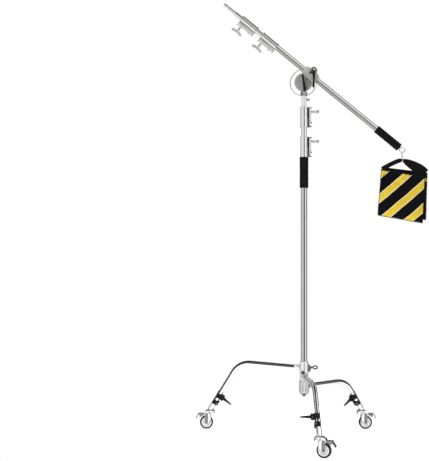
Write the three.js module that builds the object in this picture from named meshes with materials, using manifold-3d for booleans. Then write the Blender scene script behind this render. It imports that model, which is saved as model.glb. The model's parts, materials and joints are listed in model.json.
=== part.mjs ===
// A C-stand on casters: three nesting legs, a column with two telescoping risers, a tilting head,
// a telescoping boom arm and a saddle sandbag hung on the boom's handle end as its counterweight.
// Millimetres, +Z up. The origin is at floor level under the middle of the stand's bounding box. The
// numbers below are in the stand's own frame, whose Z is the column's axis; the boom lies along its XZ
// plane with the handle end towards +X, and -Y is the front.
import * as THREE from 'three';
import { mergeVertices } from 'three/addons/utils/BufferGeometryUtils.js';
import Module from 'manifold-3d';

const wasm = await Module();
wasm.setup();

// ---- Driving dimensions ----

const COLUMN_AT = [-38, 145]; // X and Y of the column's axis
const GAP = 0.3; // between pieces that touch
const ROUND = 20; // sides of a tube or a barrel
const SMALL_ROUND = 10; // sides of a pin, a bolt or a screw
const MERGE_DISTANCE = 1e-4;

// Column and risers: outer radii, and the heights of what sits on them
const COLUMN_RADIUS = 17.5;
const RISER_1_RADIUS = 15;
const RISER_2_RADIUS = 12.5;
const TUBE_WALL = 1.3;
const COLUMN_BOTTOM = 240.5;
const GRIP = { bottom: 1348, top: 1514.6, radius: 23.8 };
const COLUMN_LOCK_LENGTH = 110;
const LOWER_LOCK_Z = 1515;
const UPPER_LOCK_Z = 1675.5;
const RISER_2_TOP = 1861;

// Locks: a barrel that holds the wider tube at its root and grips the narrower one
const LOCK_SPLIT = 0.42; // where the bore narrows, as a share of the length
const LOCK_HANDLE = 0.77; // where the handle screws in, as a share of the length
const LOCK_HOUSING = { outer: 37, halfWidth: 8 };
const COLUMN_BARREL = 20; // radii of the barrels
const BOOM_BARREL = 18;

// Hub: one collar for each leg, from the top down, and the leg's own heights and radii.
// The azimuth is measured from +X towards +Y.
const COLLAR_BORE = COLUMN_RADIUS + GAP;
const LEG_RADIUS = 12.5;
const LEG_WALL = 1.5;
const LEG_BEND_RADIUS = 120;
const LEGS = [
  { name: 'top', azimuth: 154.5, collar: [350.2, 411, 23], hubZ: 375, corner: [384, 386],
    swivel: 560, casterTurn: 180, clampTurn: 0 },
  { name: 'mid', azimuth: -86.5, collar: [307.2, 349.8, 23], hubZ: 329, corner: [360, 335],
    swivel: 509, casterTurn: -20, clampTurn: 90 },
  { name: 'low', azimuth: 34.5, collar: [240.5, 306.8, 27], hubZ: 276, corner: [301, 282],
    swivel: 415, casterTurn: 0, clampTurn: 0 },
];

// The lock knob and the index pin, both in the top leg's collar
const KNOB_Z = 377;
const INDEX_X = -8;
const INDEX_Z = 357;
const INDEX_PIN = 3;

// Casters
const WHEEL_RADIUS = 38;
const TYRE_INNER = 28.5;
const TYRE_HALF_WIDTH = 12;
const TRAIL = 24;
const AXLE_RADIUS = 4;
const FORK_INNER = 15;
const FORK_OUTER = 18;
const CROWN_TOP = 106;
const ELBOW_Z = 114;
const SOCKET_RADIUS = 14.3;
const PEDAL_PIVOT = [31, 84];
const PEDAL_PIN = 2.3;
const LEVER_PIVOT = { x: 30, z: 94 }; // of the leg clamp's lever: out from the leg's axis, and up along it

// Head and boom. The boom's frame has its origin at the foot of the perpendicular from the tilt axis.
const TILT_X = -3;
const TILT_Z = 1919;
const BOOM_OFFSET = 52; // from the tilt axis up to the boom's axis
const BOOM_ANGLE = 39.3; // handle end below the horizontal
const BOOM_Y = -20;
const DISC_RADIUS = 49;
const SET_SCREW_Z = 1826;
const CLAMP_BOLT = [1, 28]; // X and Z in the boom's frame
const BOOM_OUTER_RADIUS = 15;
const BOOM_MIDDLE_RADIUS = 12.5;
const BOOM_INNER_RADIUS = 10.9;
const SPIGOT_RADIUS = 8;
const BOOM_LOCK_LENGTH = 105;
const BOOM_LOCKS = { outer: -229.5, inner: -370.5 }; // the end of each lock that faces the head
const BOOM_GRIP = { start: 463, end: 623, radius: 21.3 };
const SPIGOT_TIP = -597;
const EYE_X = 643;
const EYE_RADIUS = 14;
const WIRE_RADIUS = 2.5;
const BAIL_RADIUS = 70;
const BAIL_END = { y: 14, z: -12 };

// Sandbag, as seen from the front: corners of the two pouches in X and Z
const HOOK_BOTTOM_Z = 1485;
const POUCH_DEPTH = 36;
const POUCH_GAP = 4;
const FRONT_POUCH = [[393, 1200], [413, 1449], [646, 1407], [634, 1157]];
const REAR_POUCH = [[418, 1212], [432, 1460], [667, 1430], [660, 1175]];

// ---- Small helpers ----

const radians = THREE.MathUtils.degToRad;

function toSolid(geometry) {
  const bare = geometry.clone();
  bare.deleteAttribute('normal');
  bare.deleteAttribute('uv');
  const merged = mergeVertices(bare, MERGE_DISTANCE);
  const index = merged.index.array;
  const triVerts = [];
  for (let i = 0; i < index.length; i += 3) {
    const [a, b, c] = [index[i], index[i + 1], index[i + 2]];
    if (a !== b && b !== c && c !== a) triVerts.push(a, b, c);
  }
  return new wasm.Manifold(new wasm.Mesh({
    numProp: 3,
    vertProperties: new Float32Array(merged.attributes.position.array),
    triVerts: new Uint32Array(triVerts),
  }));
}

function toGeometry(solid) {
  const mesh = solid.getMesh();
  const geometry = new THREE.BufferGeometry();
  geometry.setAttribute('position', new THREE.BufferAttribute(new Float32Array(mesh.vertProperties), 3));
  geometry.setIndex(new THREE.BufferAttribute(new Uint32Array(mesh.triVerts), 1));
  geometry.computeVertexNormals();
  return geometry;
}

const join = (first, ...others) =>
  toGeometry(others.reduce((sum, next) => sum.add(toSolid(next)), toSolid(first)));

const cut = (first, ...tools) =>
  toGeometry(tools.reduce((rest, tool) => rest.subtract(toSolid(tool)), toSolid(first)));

// A profile of [radius, z] points turned about Z. It starts and ends on the axis, or closes on itself.
function turned(profile, sides = ROUND) {
  const geometry = new THREE.LatheGeometry(profile.map(([r, z]) => new THREE.Vector2(r, z)), sides);
  return geometry.rotateX(Math.PI / 2);
}

const rod = (radius, from, to, sides = ROUND) =>
  turned([[0, from], [radius, from], [radius, to], [0, to]], sides);

const pipe = (outer, inner, from, to, sides = ROUND) =>
  turned([[inner, from], [outer, from], [outer, to], [inner, to], [inner, from]], sides);

// A rod laid along X or Y, with its axis at a point of the plane across it
const rodX = (radius, from, to, y, z, sides = SMALL_ROUND) =>
  rod(radius, from, to, sides).rotateY(Math.PI / 2).translate(0, y, z);

const rodY = (radius, from, to, x, z, sides = SMALL_ROUND) =>
  rod(radius, -to, -from, sides).rotateX(Math.PI / 2).translate(x, 0, z);

function block([x0, x1], [y0, y1], [z0, z1]) {
  const geometry = new THREE.BoxGeometry(x1 - x0, y1 - y0, z1 - z0);
  return geometry.translate((x0 + x1) / 2, (y0 + y1) / 2, (z0 + z1) / 2);
}

// A shape with its outline anticlockwise, in whichever order the points are given
function outlineShape(outline, holes = []) {
  const points = outline.map(([a, b]) => new THREE.Vector2(a, b));
  if (THREE.ShapeUtils.isClockWise(points)) points.reverse();
  const shape = new THREE.Shape(points);
  shape.holes = holes.map((hole) => new THREE.Path(hole.map(([a, b]) => new THREE.Vector2(a, b))));
  return shape;
}

// An outline of [x, y] points, from z0 to z1
function prismZ(outline, [z0, z1], holes = []) {
  const options = { depth: z1 - z0, bevelEnabled: false };
  return new THREE.ExtrudeGeometry(outlineShape(outline, holes), options).translate(0, 0, z0);
}

// An outline of [x, z] points, from y0 to y1
const prismY = (outline, [y0, y1], holes = []) =>
  prismZ(outline, [-y1, -y0], holes).rotateX(Math.PI / 2);

// An outline of [y, z] points, from x0 to x1
const prismX = (outline, [x0, x1], holes = []) =>
  prismZ(outline, [x0, x1], holes).rotateX(Math.PI / 2).rotateZ(Math.PI / 2);

// Points on an arc about a centre, angles in degrees
function arc([cx, cy], radius, from, to, count) {
  return Array.from({ length: count }, (_, i) => {
    const angle = radians(from + (to - from) * i / (count - 1));
    return [cx + radius * Math.cos(angle), cy + radius * Math.sin(angle)];
  });
}

const circle = (radius, sides) => arc([0, 0], radius, 0, 360 * (sides - 1) / sides, sides);

const ellipse = (halfWidth, halfHeight, sides) =>
  circle(1, sides).map(([a, b]) => [a * halfWidth, b * halfHeight]);

// A path through chosen stations, so that a sweep has its steps where the bends are
class StationPath extends THREE.Curve {
  constructor(stations) {
    super();
    this.stations = stations;
  }

  getPoint(t, target = new THREE.Vector3()) {
    const last = this.stations.length - 1;
    const i = Math.min(Math.floor(t * last + 1e-9), last - 1);
    return target.lerpVectors(this.stations[i], this.stations[i + 1], t * last - i);
  }

  getPointAt(u, target) {
    return this.getPoint(u, target);
  }

  getTangentAt(u, target = new THREE.Vector3()) {
    const last = this.stations.length - 1;
    const i = Math.round(u * last);
    const before = this.stations[Math.max(i - 1, 0)];
    const here = this.stations[i];
    const after = this.stations[Math.min(i + 1, last)];
    const arriving = here.clone().sub(before).normalize();
    const leaving = after.clone().sub(here).normalize();
    return target.copy(arriving).add(leaving).normalize();
  }
}

function sweep(stations, radius, sides, innerRadius = 0) {
  const holes = innerRadius ? [circle(innerRadius, sides)] : [];
  const shape = outlineShape(circle(radius, sides), holes);
  const steps = stations.length - 1;
  const extrudePath = new StationPath(stations);
  return new THREE.ExtrudeGeometry(shape, { steps, extrudePath, bevelEnabled: false });
}

const chrome = () => new THREE.MeshStandardMaterial({ color: 0xdcdcda, roughness: 0.12, metalness: 1 });
const castMetal = () => new THREE.MeshStandardMaterial({ color: 0x8f8e8c, roughness: 0.45, metalness: 0.7 });
const blackPlastic = () => new THREE.MeshStandardMaterial({ color: 0x151515, roughness: 0.5, metalness: 0 });
const foam = () => new THREE.MeshStandardMaterial({ color: 0x2a2a2a, roughness: 0.9, metalness: 0 });
const tyreRubber = () => new THREE.MeshStandardMaterial({ color: 0x222222, roughness: 0.8, metalness: 0 });
const wheelPlastic = () => new THREE.MeshStandardMaterial({ color: 0xd8d8d6, roughness: 0.5, metalness: 0 });
const zincPlate = () => new THREE.MeshStandardMaterial({ color: 0xb8b8b6, roughness: 0.25, metalness: 1 });
const stripedCloth = () => new THREE.MeshStandardMaterial({ color: 0x8a7a1c, roughness: 0.85, metalness: 0 });
const webbing = () => new THREE.MeshStandardMaterial({ color: 0x101012, roughness: 0.9, metalness: 0 });

function addPart(parent, name, geometry, material) {
  const mesh = new THREE.Mesh(geometry, material);
  mesh.name = name;
  parent.add(mesh);
  return mesh;
}

function addGroup(parent, position = [0, 0, 0], rotation = [0, 0, 0]) {
  const group = new THREE.Group();
  group.position.set(...position);
  group.rotation.set(...rotation.map(radians));
  parent.add(group);
  return group;
}

// ---- Locks and their handles: the tube's axis is Z, the handle is on the +X side ----

function lockBody(length, barrel, wideTube, narrowTube) {
  const rim = barrel + 2.2;
  const { outer, halfWidth } = LOCK_HOUSING;
  const width = [-halfWidth, halfWidth];
  const handleZ = length * LOCK_HANDLE;
  const barrelProfile = [[0, 0], [rim, 0], [rim, 4], [barrel, 5], [barrel, length - 5],
    [rim, length - 4], [rim, length], [0, length]];
  const housing = join(
    turned(barrelProfile),
    block([0, outer], width, [4, length - 4]),
    block([10, outer + 5], width, [length - 5, length - 1.5]),
    block([10, outer + 4], width, [1.5, 4.5]),
    rodX(8, outer - 4, outer + 3, 0, handleZ),
    rodX(3.2, outer - 2, outer + 5, 0, length * 0.24, 8),
  );
  return cut(
    housing,
    rod(wideTube + GAP, -1, length * LOCK_SPLIT),
    rod(narrowTube + GAP, 0, length + 1),
    rodX(4 + GAP, narrowTube, outer + 8, 0, handleZ),
  );
}

// A screw with a curved wing grip; its inner end stops just short of the narrow tube
function wingHandle(innerEnd) {
  const half = [[52, 0], [53, 8], [60, 17], [66, 29], [72, 33], [80, 31], [79, 25], [72, 12], [70, 0]];
  const mirrored = half.slice(1, -1).reverse().map(([x, y]) => [x, -y]);
  return join(
    rodX(4, innerEnd, 56, 0, 0),
    rodX(6.5, LOCK_HOUSING.outer + 3.4, LOCK_HOUSING.outer + 8, 0, 0),
    prismZ([...half, ...mirrored], [-8, 8]),
  );
}

// The wing lies across the tube when wingTurn is 0, along it when it is 90 degrees
function addLock(parent, name, length, barrel, wideTube, narrowTube, wingTurn = 0) {
  addPart(parent, name, lockBody(length, barrel, wideTube, narrowTube), chrome());
  const handle = addGroup(parent, [0, 0, length * LOCK_HANDLE], [wingTurn, 0, 0]);
  addPart(handle, `${name}_handle`, wingHandle(narrowTube + 1), castMetal());
}

// ---- Column ----

function addColumn(stand) {
  const lockSplit = COLUMN_LOCK_LENGTH * LOCK_SPLIT;
  const columnTop = LOWER_LOCK_Z + lockSplit - GAP;
  const riser1Top = UPPER_LOCK_Z + lockSplit - GAP;
  addPart(stand, 'base_column',
    pipe(COLUMN_RADIUS, COLUMN_RADIUS - TUBE_WALL, COLUMN_BOTTOM, columnTop), chrome());
  addPart(stand, 'riser_1', pipe(RISER_1_RADIUS, RISER_1_RADIUS - TUBE_WALL, 420, riser1Top), chrome());
  addPart(stand, 'riser_2', pipe(RISER_2_RADIUS, RISER_2_RADIUS - TUBE_WALL, 440, RISER_2_TOP), chrome());

  const { bottom, top, radius } = GRIP;
  const bore = COLUMN_RADIUS + GAP;
  addPart(stand, 'column_grip', turned([[bore, bottom], [radius - 2, bottom], [radius, bottom + 3],
    [radius, top - 3], [radius - 2, top], [bore, top], [bore, bottom]]), foam());

  const flange = COLUMN_BOTTOM - GAP;
  addPart(stand, 'column_foot_cap', turned([[0, 218], [4, 218], [11, 228], [11, 234], [22, 235.5],
    [22, flange], [15.5, flange], [15.5, flange + 18], [0, flange + 18]], 16), blackPlastic());

  const lowerFrame = addGroup(stand, [0, 0, LOWER_LOCK_Z]);
  addLock(lowerFrame, 'lower_lock', COLUMN_LOCK_LENGTH, COLUMN_BARREL, COLUMN_RADIUS, RISER_1_RADIUS);
  const upperFrame = addGroup(stand, [0, 0, UPPER_LOCK_Z]);
  addLock(upperFrame, 'upper_lock', COLUMN_LOCK_LENGTH, COLUMN_BARREL, RISER_1_RADIUS, RISER_2_RADIUS);
}

// ---- Hub ----

// A leg's collar in the leg's own frame: X points out along the leg
function legCollar(leg) {
  const [bottom, top, radius] = leg.collar;
  const slope = Math.atan2(leg.corner[1] - leg.hubZ, leg.corner[0]);
  const sides = leg.name === 'low' ? 12 : ROUND;
  const alongLeg = (r, from, to, n) => rodX(r, from, to, 0, 0, n).rotateY(-slope).translate(0, 0, leg.hubZ);
  const body = join(
    turned([[0, bottom], [radius, bottom], [radius, top], [0, top]], sides),
    alongLeg(LEG_RADIUS + 2.6, 0, radius + 29, 16),
  );
  const legBore = alongLeg(LEG_RADIUS + GAP, COLLAR_BORE + 3, 90, 16);
  return cut(body, rod(COLLAR_BORE, bottom - 30, top + 30), legBore);
}

function addHub(stand) {
  for (const leg of LEGS) {
    const frame = addGroup(stand, [0, 0, 0], [0, 0, leg.azimuth]);
    let geometry = legCollar(leg);
    if (leg.name === 'top') geometry = withScrewAndPinHoles(geometry, leg);
    addPart(frame, `${leg.name}_leg_collar`, geometry, leg.name === 'low' ? zincPlate() : chrome());
  }
  addPart(addGroup(stand, [0, 0, KNOB_Z]), 'leg_lock_knob', lockKnob(), castMetal());
  addPart(addGroup(stand, [INDEX_X, 0, INDEX_Z]), 'leg_index_ring', indexRing(), blackPlastic());
}

// The top collar holds the lock knob's screw, in a block on the +X side, and an index pin at the front
function withScrewAndPinHoles(collar, leg) {
  const toLegFrame = radians(-leg.azimuth);
  const boss = block([0, 36], [-9, 9], [KNOB_Z - 24, KNOB_Z + 11]).rotateZ(toLegFrame);
  const screwHole = rodX(4 + GAP, 10, 60, 0, KNOB_Z).rotateZ(toLegFrame);
  const pinHole = rodY(INDEX_PIN + GAP, -40, -10, INDEX_X, INDEX_Z, 8).rotateZ(toLegFrame);
  const columnBore = rod(COLLAR_BORE, leg.collar[0] - 1, leg.collar[1] + 1);
  return cut(join(collar, boss), screwHole, pinHole, columnBore);
}

function lockKnob() {
  const loop = prismY(ellipse(14, 10.5, 16).map(([x, z]) => [x + 61.5, z]), [-4, 4],
    [ellipse(8, 4.8, 10).map(([x, z]) => [x + 62, z])]);
  return join(rodX(4, COLUMN_RADIUS + 1, 50, 0, 0), rodX(6.5, 37, 41, 0, 0), loop);
}

// The index pin with its oval pull ring, which hangs a little below the pin
function indexRing() {
  const drop = 4;
  const ring = prismY(ellipse(11, 7.5, 14).map(([x, z]) => [x, z - drop]), [-28, -24.5],
    [ellipse(7, 3.8, 10).map(([x, z]) => [x, z - drop])]);
  return join(ring, rodY(INDEX_PIN, -26, -COLLAR_BORE, 0, 0, 8));
}

// ---- Legs and casters ----

// Stations of the leg's centre line in its own XZ plane: straight, a round bend, straight down to the caster
function legStations(leg, end) {
  const startX = COLLAR_BORE + 3.5;
  const rise = (leg.corner[1] - leg.hubZ) / leg.corner[0];
  const start = new THREE.Vector3(startX, 0, leg.hubZ + startX * rise);
  const corner = new THREE.Vector3(leg.corner[0], 0, leg.corner[1]);
  const inward = start.clone().sub(corner).normalize();
  const downward = end.clone().sub(corner).normalize();
  const halfAngle = inward.angleTo(downward) / 2;
  const tangentLength = LEG_BEND_RADIUS / Math.tan(halfAngle);
  const bisector = inward.clone().add(downward).normalize();
  const centre = corner.clone().addScaledVector(bisector, LEG_BEND_RADIUS / Math.sin(halfAngle));
  const first = corner.clone().addScaledVector(inward, tangentLength).sub(centre);
  const turn = Math.PI - 2 * halfAngle;
  const bendSteps = 6;
  const bend = Array.from({ length: bendSteps + 1 }, (_, i) =>
    first.clone().applyAxisAngle(new THREE.Vector3(0, 1, 0), turn * i / bendSteps).add(centre));
  return [start, ...bend, end];
}

function legSlant(leg) {
  return Math.atan2(leg.swivel - leg.corner[0], leg.corner[1] - ELBOW_Z);
}

// The chrome socket that takes the leg's end, its elbow and the upright king pin. The origin is the elbow.
function casterStem(slant) {
  const socket = cut(rod(SOCKET_RADIUS, 0, 118, 16), rod(LEG_RADIUS + GAP, 50, 120, 16)).rotateY(-slant);
  const crown = CROWN_TOP - ELBOW_Z + 0.5;
  const elbow = new THREE.SphereGeometry(SOCKET_RADIUS, 12, 8).rotateX(Math.PI / 2);
  const belowCrown = block([-40, 40], [-40, 40], [-40, crown]);
  return join(
    cut(join(socket, elbow, rod(SOCKET_RADIUS - 0.5, -20, 0, 12)), belowCrown),
    rod(5, crown - 16, crown + 1, SMALL_ROUND),
  );
}

// The black clamp on the socket, in a frame with Z up along the leg and X across it: two lugs on an
// open shell, the upper one with ears for its lever
function legClamp() {
  const lug = (from, to) => block([-6, 24], [-17, 17], [from, to]);
  const ears = block([20, 35], [-8, 8], [78, 110]);
  const shell = rod(SOCKET_RADIUS + 2.4, 33, 113, 16);
  const openShell = cut(shell, block([-30, -9], [-30, 30], [0, 120]));
  const body = join(lug(36, 66), lug(76, 112), ears, openShell);
  const leverPin = rod(2.5 + GAP, 70, 120, 8).translate(LEVER_PIVOT.x, 0, 0);
  const leverSlot = block([24.5, 40], [-20, 20], [LEVER_PIVOT.z - 10, LEVER_PIVOT.z + 10]);
  return cut(body, rod(SOCKET_RADIUS + GAP, 20, 125, 16), leverSlot, leverPin);
}

function clampLever() {
  const tail = [[0, -3], [20, -4.5], [56, -2.5], [60, 0], [56, 2.5], [20, 4.5], [0, 5]];
  return join(
    rod(4.4, -9.5, 9.5, SMALL_ROUND),
    rod(2.5, -15.5, 15.5, 8),
    prismZ(tail, [-7, 7]),
  );
}

// Caster pieces, in a frame on the swivel axis at floor level with X along the trail
function casterFork() {
  const legEnd = arc([TRAIL, WHEEL_RADIUS], 9, 0, -180, 5);
  const side = [[-19, CROWN_TOP - 4], [-19, CROWN_TOP], [20, CROWN_TOP], [37, 93], [37, 79], [31, 68],
    ...legEnd, [-3, 54], [0, 86]];
  const lip = [[-18, CROWN_TOP], [-22, CROWN_TOP - 3], [-24, 83], [-21, 82], [-19, CROWN_TOP - 6],
    [-16, CROWN_TOP - 4]];
  const fork = join(
    prismY(side, [FORK_INNER, FORK_OUTER]),
    prismY(side, [-FORK_OUTER, -FORK_INNER]),
    block([-18, 21], [-FORK_OUTER, FORK_OUTER], [CROWN_TOP - 4, CROWN_TOP]),
    prismY(lip, [-14, 14]),
    rod(13, CROWN_TOP - 12, CROWN_TOP - 2, 12),
  );
  return cut(
    fork,
    rod(5 + GAP, 80, 120, SMALL_ROUND),
    rodY(AXLE_RADIUS + GAP, -30, 30, TRAIL, WHEEL_RADIUS),
    rodY(PEDAL_PIN + GAP, -30, 30, ...PEDAL_PIVOT, 8),
  );
}

const wheelHub = () => turned([[4.3, -13.5], [9, -13.5], [11, -5], [23, -5], [24, -10], [28.2, -10],
  [28.2, 10], [24, 10], [23, 5], [11, 5], [9, 13.5], [4.3, 13.5], [4.3, -13.5]], 16);

// The tyre's tread has flats, and one of them rests on the floor
function tyre() {
  const sides = 24;
  const corner = WHEEL_RADIUS / Math.cos(Math.PI / sides);
  const profile = [[TYRE_INNER + 0.6, -10], [34, -TYRE_HALF_WIDTH], [corner, -8], [corner, 8],
    [34, TYRE_HALF_WIDTH], [TYRE_INNER + 0.6, 10], [TYRE_INNER + 0.6, -10]];
  return turned(profile, sides).rotateZ(Math.PI / sides);
}

// The axle has a hexagonal head and nut outside the fork
function axleBolt() {
  const nut = (from, to) => rod(7, from, to, 6);
  const outside = FORK_OUTER + GAP;
  return join(rod(AXLE_RADIUS, -20, 20), nut(-outside - 4.2, -outside), nut(outside, outside + 4.2));
}

function brakePedal() {
  const clearOfTyre = arc([TRAIL, WHEEL_RADIUS], WHEEL_RADIUS + 5, 40, 84, 5);
  const cheek = [[66, 89], [64, 66], ...clearOfTyre, [27, 89]];
  const tread = [[62, 89], [66, 90], [86, 57], [82.5, 56]];
  return join(
    prismY(cheek, [11, 14]),
    prismY(cheek, [-14, -11]),
    block([27, 65], [-14, 14], [86.5, 89]),
    prismY(tread, [-15, 15]),
    rodY(PEDAL_PIN, -17.6, 17.6, ...PEDAL_PIVOT, 8),
  );
}

function addLeg(stand, leg) {
  const frame = addGroup(stand, [0, 0, 0], [0, 0, leg.azimuth]);
  const slant = legSlant(leg);
  const elbow = new THREE.Vector3(leg.swivel, 0, ELBOW_Z);
  const up = new THREE.Vector3(-Math.sin(slant), 0, Math.cos(slant));
  const tubeEnd = elbow.clone().addScaledVector(up, 51);
  const tube = sweep(legStations(leg, tubeEnd), LEG_RADIUS, 14, LEG_RADIUS - LEG_WALL);
  addPart(frame, `${leg.name}_leg`, tube, chrome());

  const stemFrame = addGroup(frame, elbow.toArray());
  addPart(stemFrame, `${leg.name}_caster_stem`, casterStem(slant), chrome());

  const endFrame = addGroup(frame, elbow.toArray());
  const across = new THREE.Vector3(-Math.cos(slant), 0, -Math.sin(slant));
  const basis = new THREE.Matrix4().makeBasis(across, new THREE.Vector3(0, -1, 0), up);
  endFrame.quaternion.setFromRotationMatrix(basis);
  const clampFrame = addGroup(endFrame, [0, 0, 0], [0, 0, leg.clampTurn]);
  addPart(clampFrame, `${leg.name}_leg_clamp`, legClamp(), blackPlastic());
  const leverFrame = addGroup(clampFrame, [LEVER_PIVOT.x, 0, LEVER_PIVOT.z]);
  addPart(leverFrame, `${leg.name}_clamp_lever`, clampLever(), blackPlastic());

  const caster = addGroup(frame, [leg.swivel, 0, 0], [0, 0, leg.casterTurn - leg.azimuth]);
  addPart(caster, `${leg.name}_caster_fork`, casterFork(), zincPlate());
  addPart(caster, `${leg.name}_brake_pedal`, brakePedal(), zincPlate());
  const wheel = addGroup(caster, [TRAIL, 0, WHEEL_RADIUS], [90, 0, 0]);
  addPart(wheel, `${leg.name}_wheel`, wheelHub(), wheelPlastic());
  addPart(wheel, `${leg.name}_tyre`, tyre(), tyreRubber());
  addPart(wheel, `${leg.name}_axle`, axleBolt(), zincPlate());
}

// ---- Head ----

function headSocket() {
  const sleeve = turned([[0, 1818], [14.6, 1818], [14.6, 1840], [18, 1846], [19, 1866], [17, 1868],
    [0, 1868]]);
  const body = join(
    sleeve,
    rodY(42, 0.8, 15, TILT_X, TILT_Z, 24),
    block([-15, 11], [3, 15], [1850, 1895]),
    rodX(6, 8, 20, 0, SET_SCREW_Z),
  );
  return cut(
    body,
    rod(RISER_2_RADIUS + GAP, 1800, RISER_2_TOP + 1),
    rodY(6 + GAP, -10, 30, TILT_X, TILT_Z, 12),
    rodX(3 + GAP, 5, 40, 0, SET_SCREW_Z, 8),
  );
}

const setScrew = () => join(rodX(3, RISER_2_RADIUS + 0.8, 24, 0, 0, 8), rodX(5.5, 21, 30, 0, 0, 12));

// The bolt on the tilt axis with its tapered bar handle, which stands upright in front of the disc
function tiltLever() {
  const lean = 8.5;
  const outline = [[-12, -50], [5, -50], [4, -16], [1, 38], [-8, 38], [-9, -16]];
  const bar = prismY(outline, [-52, -43]).rotateY(radians(-lean));
  return join(
    rodY(6, -50, 18, 0, 0, 12),
    rodY(9, 15.6, 22, 0, 0, 6),
    rodY(9.5, -50, -16.6, 0, 0, 14),
    bar,
  );
}

// The tilting half: a disc on the tilt axis, and a split block that the boom slides through.
// Its frame is the boom's, so the disc's centre is straight below the origin.
function boomClamp() {
  const y = [-20, 20];
  const blockOutline = [[-42, -16], [-30, -27], [38, -27], [49, -16], [49, 16], [38, 24], [22, 27],
    [18, 42], [10, 47], [-6, 47], [-14, 42], [-18, 27], [-30, 24], [-42, 16]];
  const body = join(prismY(blockOutline, y), rodY(DISC_RADIUS, 4, 19.5, 0, -BOOM_OFFSET, 32));
  return cut(
    body,
    rodX(BOOM_OUTER_RADIUS + GAP, -60, 70, 0, 0, ROUND),
    block([-60, 70], [-1.5, 1.5], [8, 60]),
    rodY(4 + GAP, -30, 30, ...CLAMP_BOLT),
    rodY(6 + GAP, -30, 30, 0, -BOOM_OFFSET, 12),
    rodX(WIRE_RADIUS + GAP, -60, -30, BAIL_END.y, BAIL_END.z, 8),
    rodX(WIRE_RADIUS + GAP, 37, 60, BAIL_END.y, BAIL_END.z, 8),
  );
}

// A steel wire that runs round the disc behind the socket, from one end of the clamp block to the other
function wireBail() {
  const behind = 47;
  const spread = 106;
  const onCircle = arc([0, -BOOM_OFFSET], BAIL_RADIUS, -90 - spread, -90 + spread, 17);
  const leftEnd = [[-34, 14, -12], [-47, 14, -12], [-56, 16, -13.5], [-64, 26, -21], [-68, 40, -29]];
  const rightEnd = [[68, 40, -29], [64, 27, -21], [60, 16, -13.5], [53, 14, -12], [41, 14, -12]];
  const points = [...leftEnd, ...onCircle.map(([x, z]) => [x, behind, z]), ...rightEnd];
  return sweep(points.map((p) => new THREE.Vector3(...p)), WIRE_RADIUS, 6);
}

// A ratchet lever that hangs straight down from the clamp bolt. Its frame has Z up.
function clampBoltLever() {
  const handle = [[-6, 6], [-7.5, -8], [-6, -60], [-9, -88], [-6, -98], [1, -98], [3.5, -90], [3, -60],
    [7.5, -8], [6, 6]];
  return join(
    rodY(4, -44, 24, 0, 0),
    rodY(8, 20.4, 26, 0, 0, 6),
    rodY(11, -46, -20.6, 0, 0, 14),
    prismY(handle, [-46, -36]),
  );
}

function addHead(stand) {
  addPart(stand, 'head_socket', headSocket(), castMetal());
  addPart(addGroup(stand, [0, 0, SET_SCREW_Z]), 'head_set_screw', setScrew(), castMetal());
  addPart(addGroup(stand, [TILT_X, 0, TILT_Z]), 'tilt_lever', tiltLever(), blackPlastic());
}

// ---- Boom ----

function boomInnerTube() {
  const shoulder = SPIGOT_TIP + 79;
  const profile = [[0, SPIGOT_TIP], [SPIGOT_RADIUS - 1, SPIGOT_TIP], [SPIGOT_RADIUS, SPIGOT_TIP + 1],
    [SPIGOT_RADIUS, SPIGOT_TIP + 24], [SPIGOT_RADIUS - 1.5, SPIGOT_TIP + 26],
    [SPIGOT_RADIUS - 1.5, SPIGOT_TIP + 34], [SPIGOT_RADIUS, SPIGOT_TIP + 36],
    [SPIGOT_RADIUS, shoulder - 2], [BOOM_INNER_RADIUS, shoulder], [BOOM_INNER_RADIUS, 210],
    [BOOM_INNER_RADIUS - TUBE_WALL, 210], [BOOM_INNER_RADIUS - TUBE_WALL, shoulder + 12], [0, shoulder + 12]];
  return alongX(turned(profile, 16));
}

const alongX = (geometry) => geometry.rotateY(Math.PI / 2);

function boomGrip() {
  const { start, end, radius } = BOOM_GRIP;
  const bore = BOOM_OUTER_RADIUS + GAP;
  return alongX(turned([[bore, start], [radius - 1.5, start], [radius, start + 2], [radius, end - 4],
    [radius - 4, end], [4.4, end], [4.4, end - 4.5], [bore, end - 4.5], [bore, start]]));
}

// A plug in the tube's end, a short shank through the grip and the ring that the hook hangs on
function eyeRing() {
  const ringStart = EYE_X - EYE_RADIUS;
  return join(
    alongX(rod(BOOM_OUTER_RADIUS - TUBE_WALL - GAP, 596, BOOM_GRIP.end - 5, 16)),
    alongX(rod(4, 600, ringStart + 1, SMALL_ROUND)),
    new THREE.TorusGeometry(EYE_RADIUS, WIRE_RADIUS, 6, 18).rotateX(Math.PI / 2).translate(EYE_X, 0, 0),
  );
}

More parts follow.
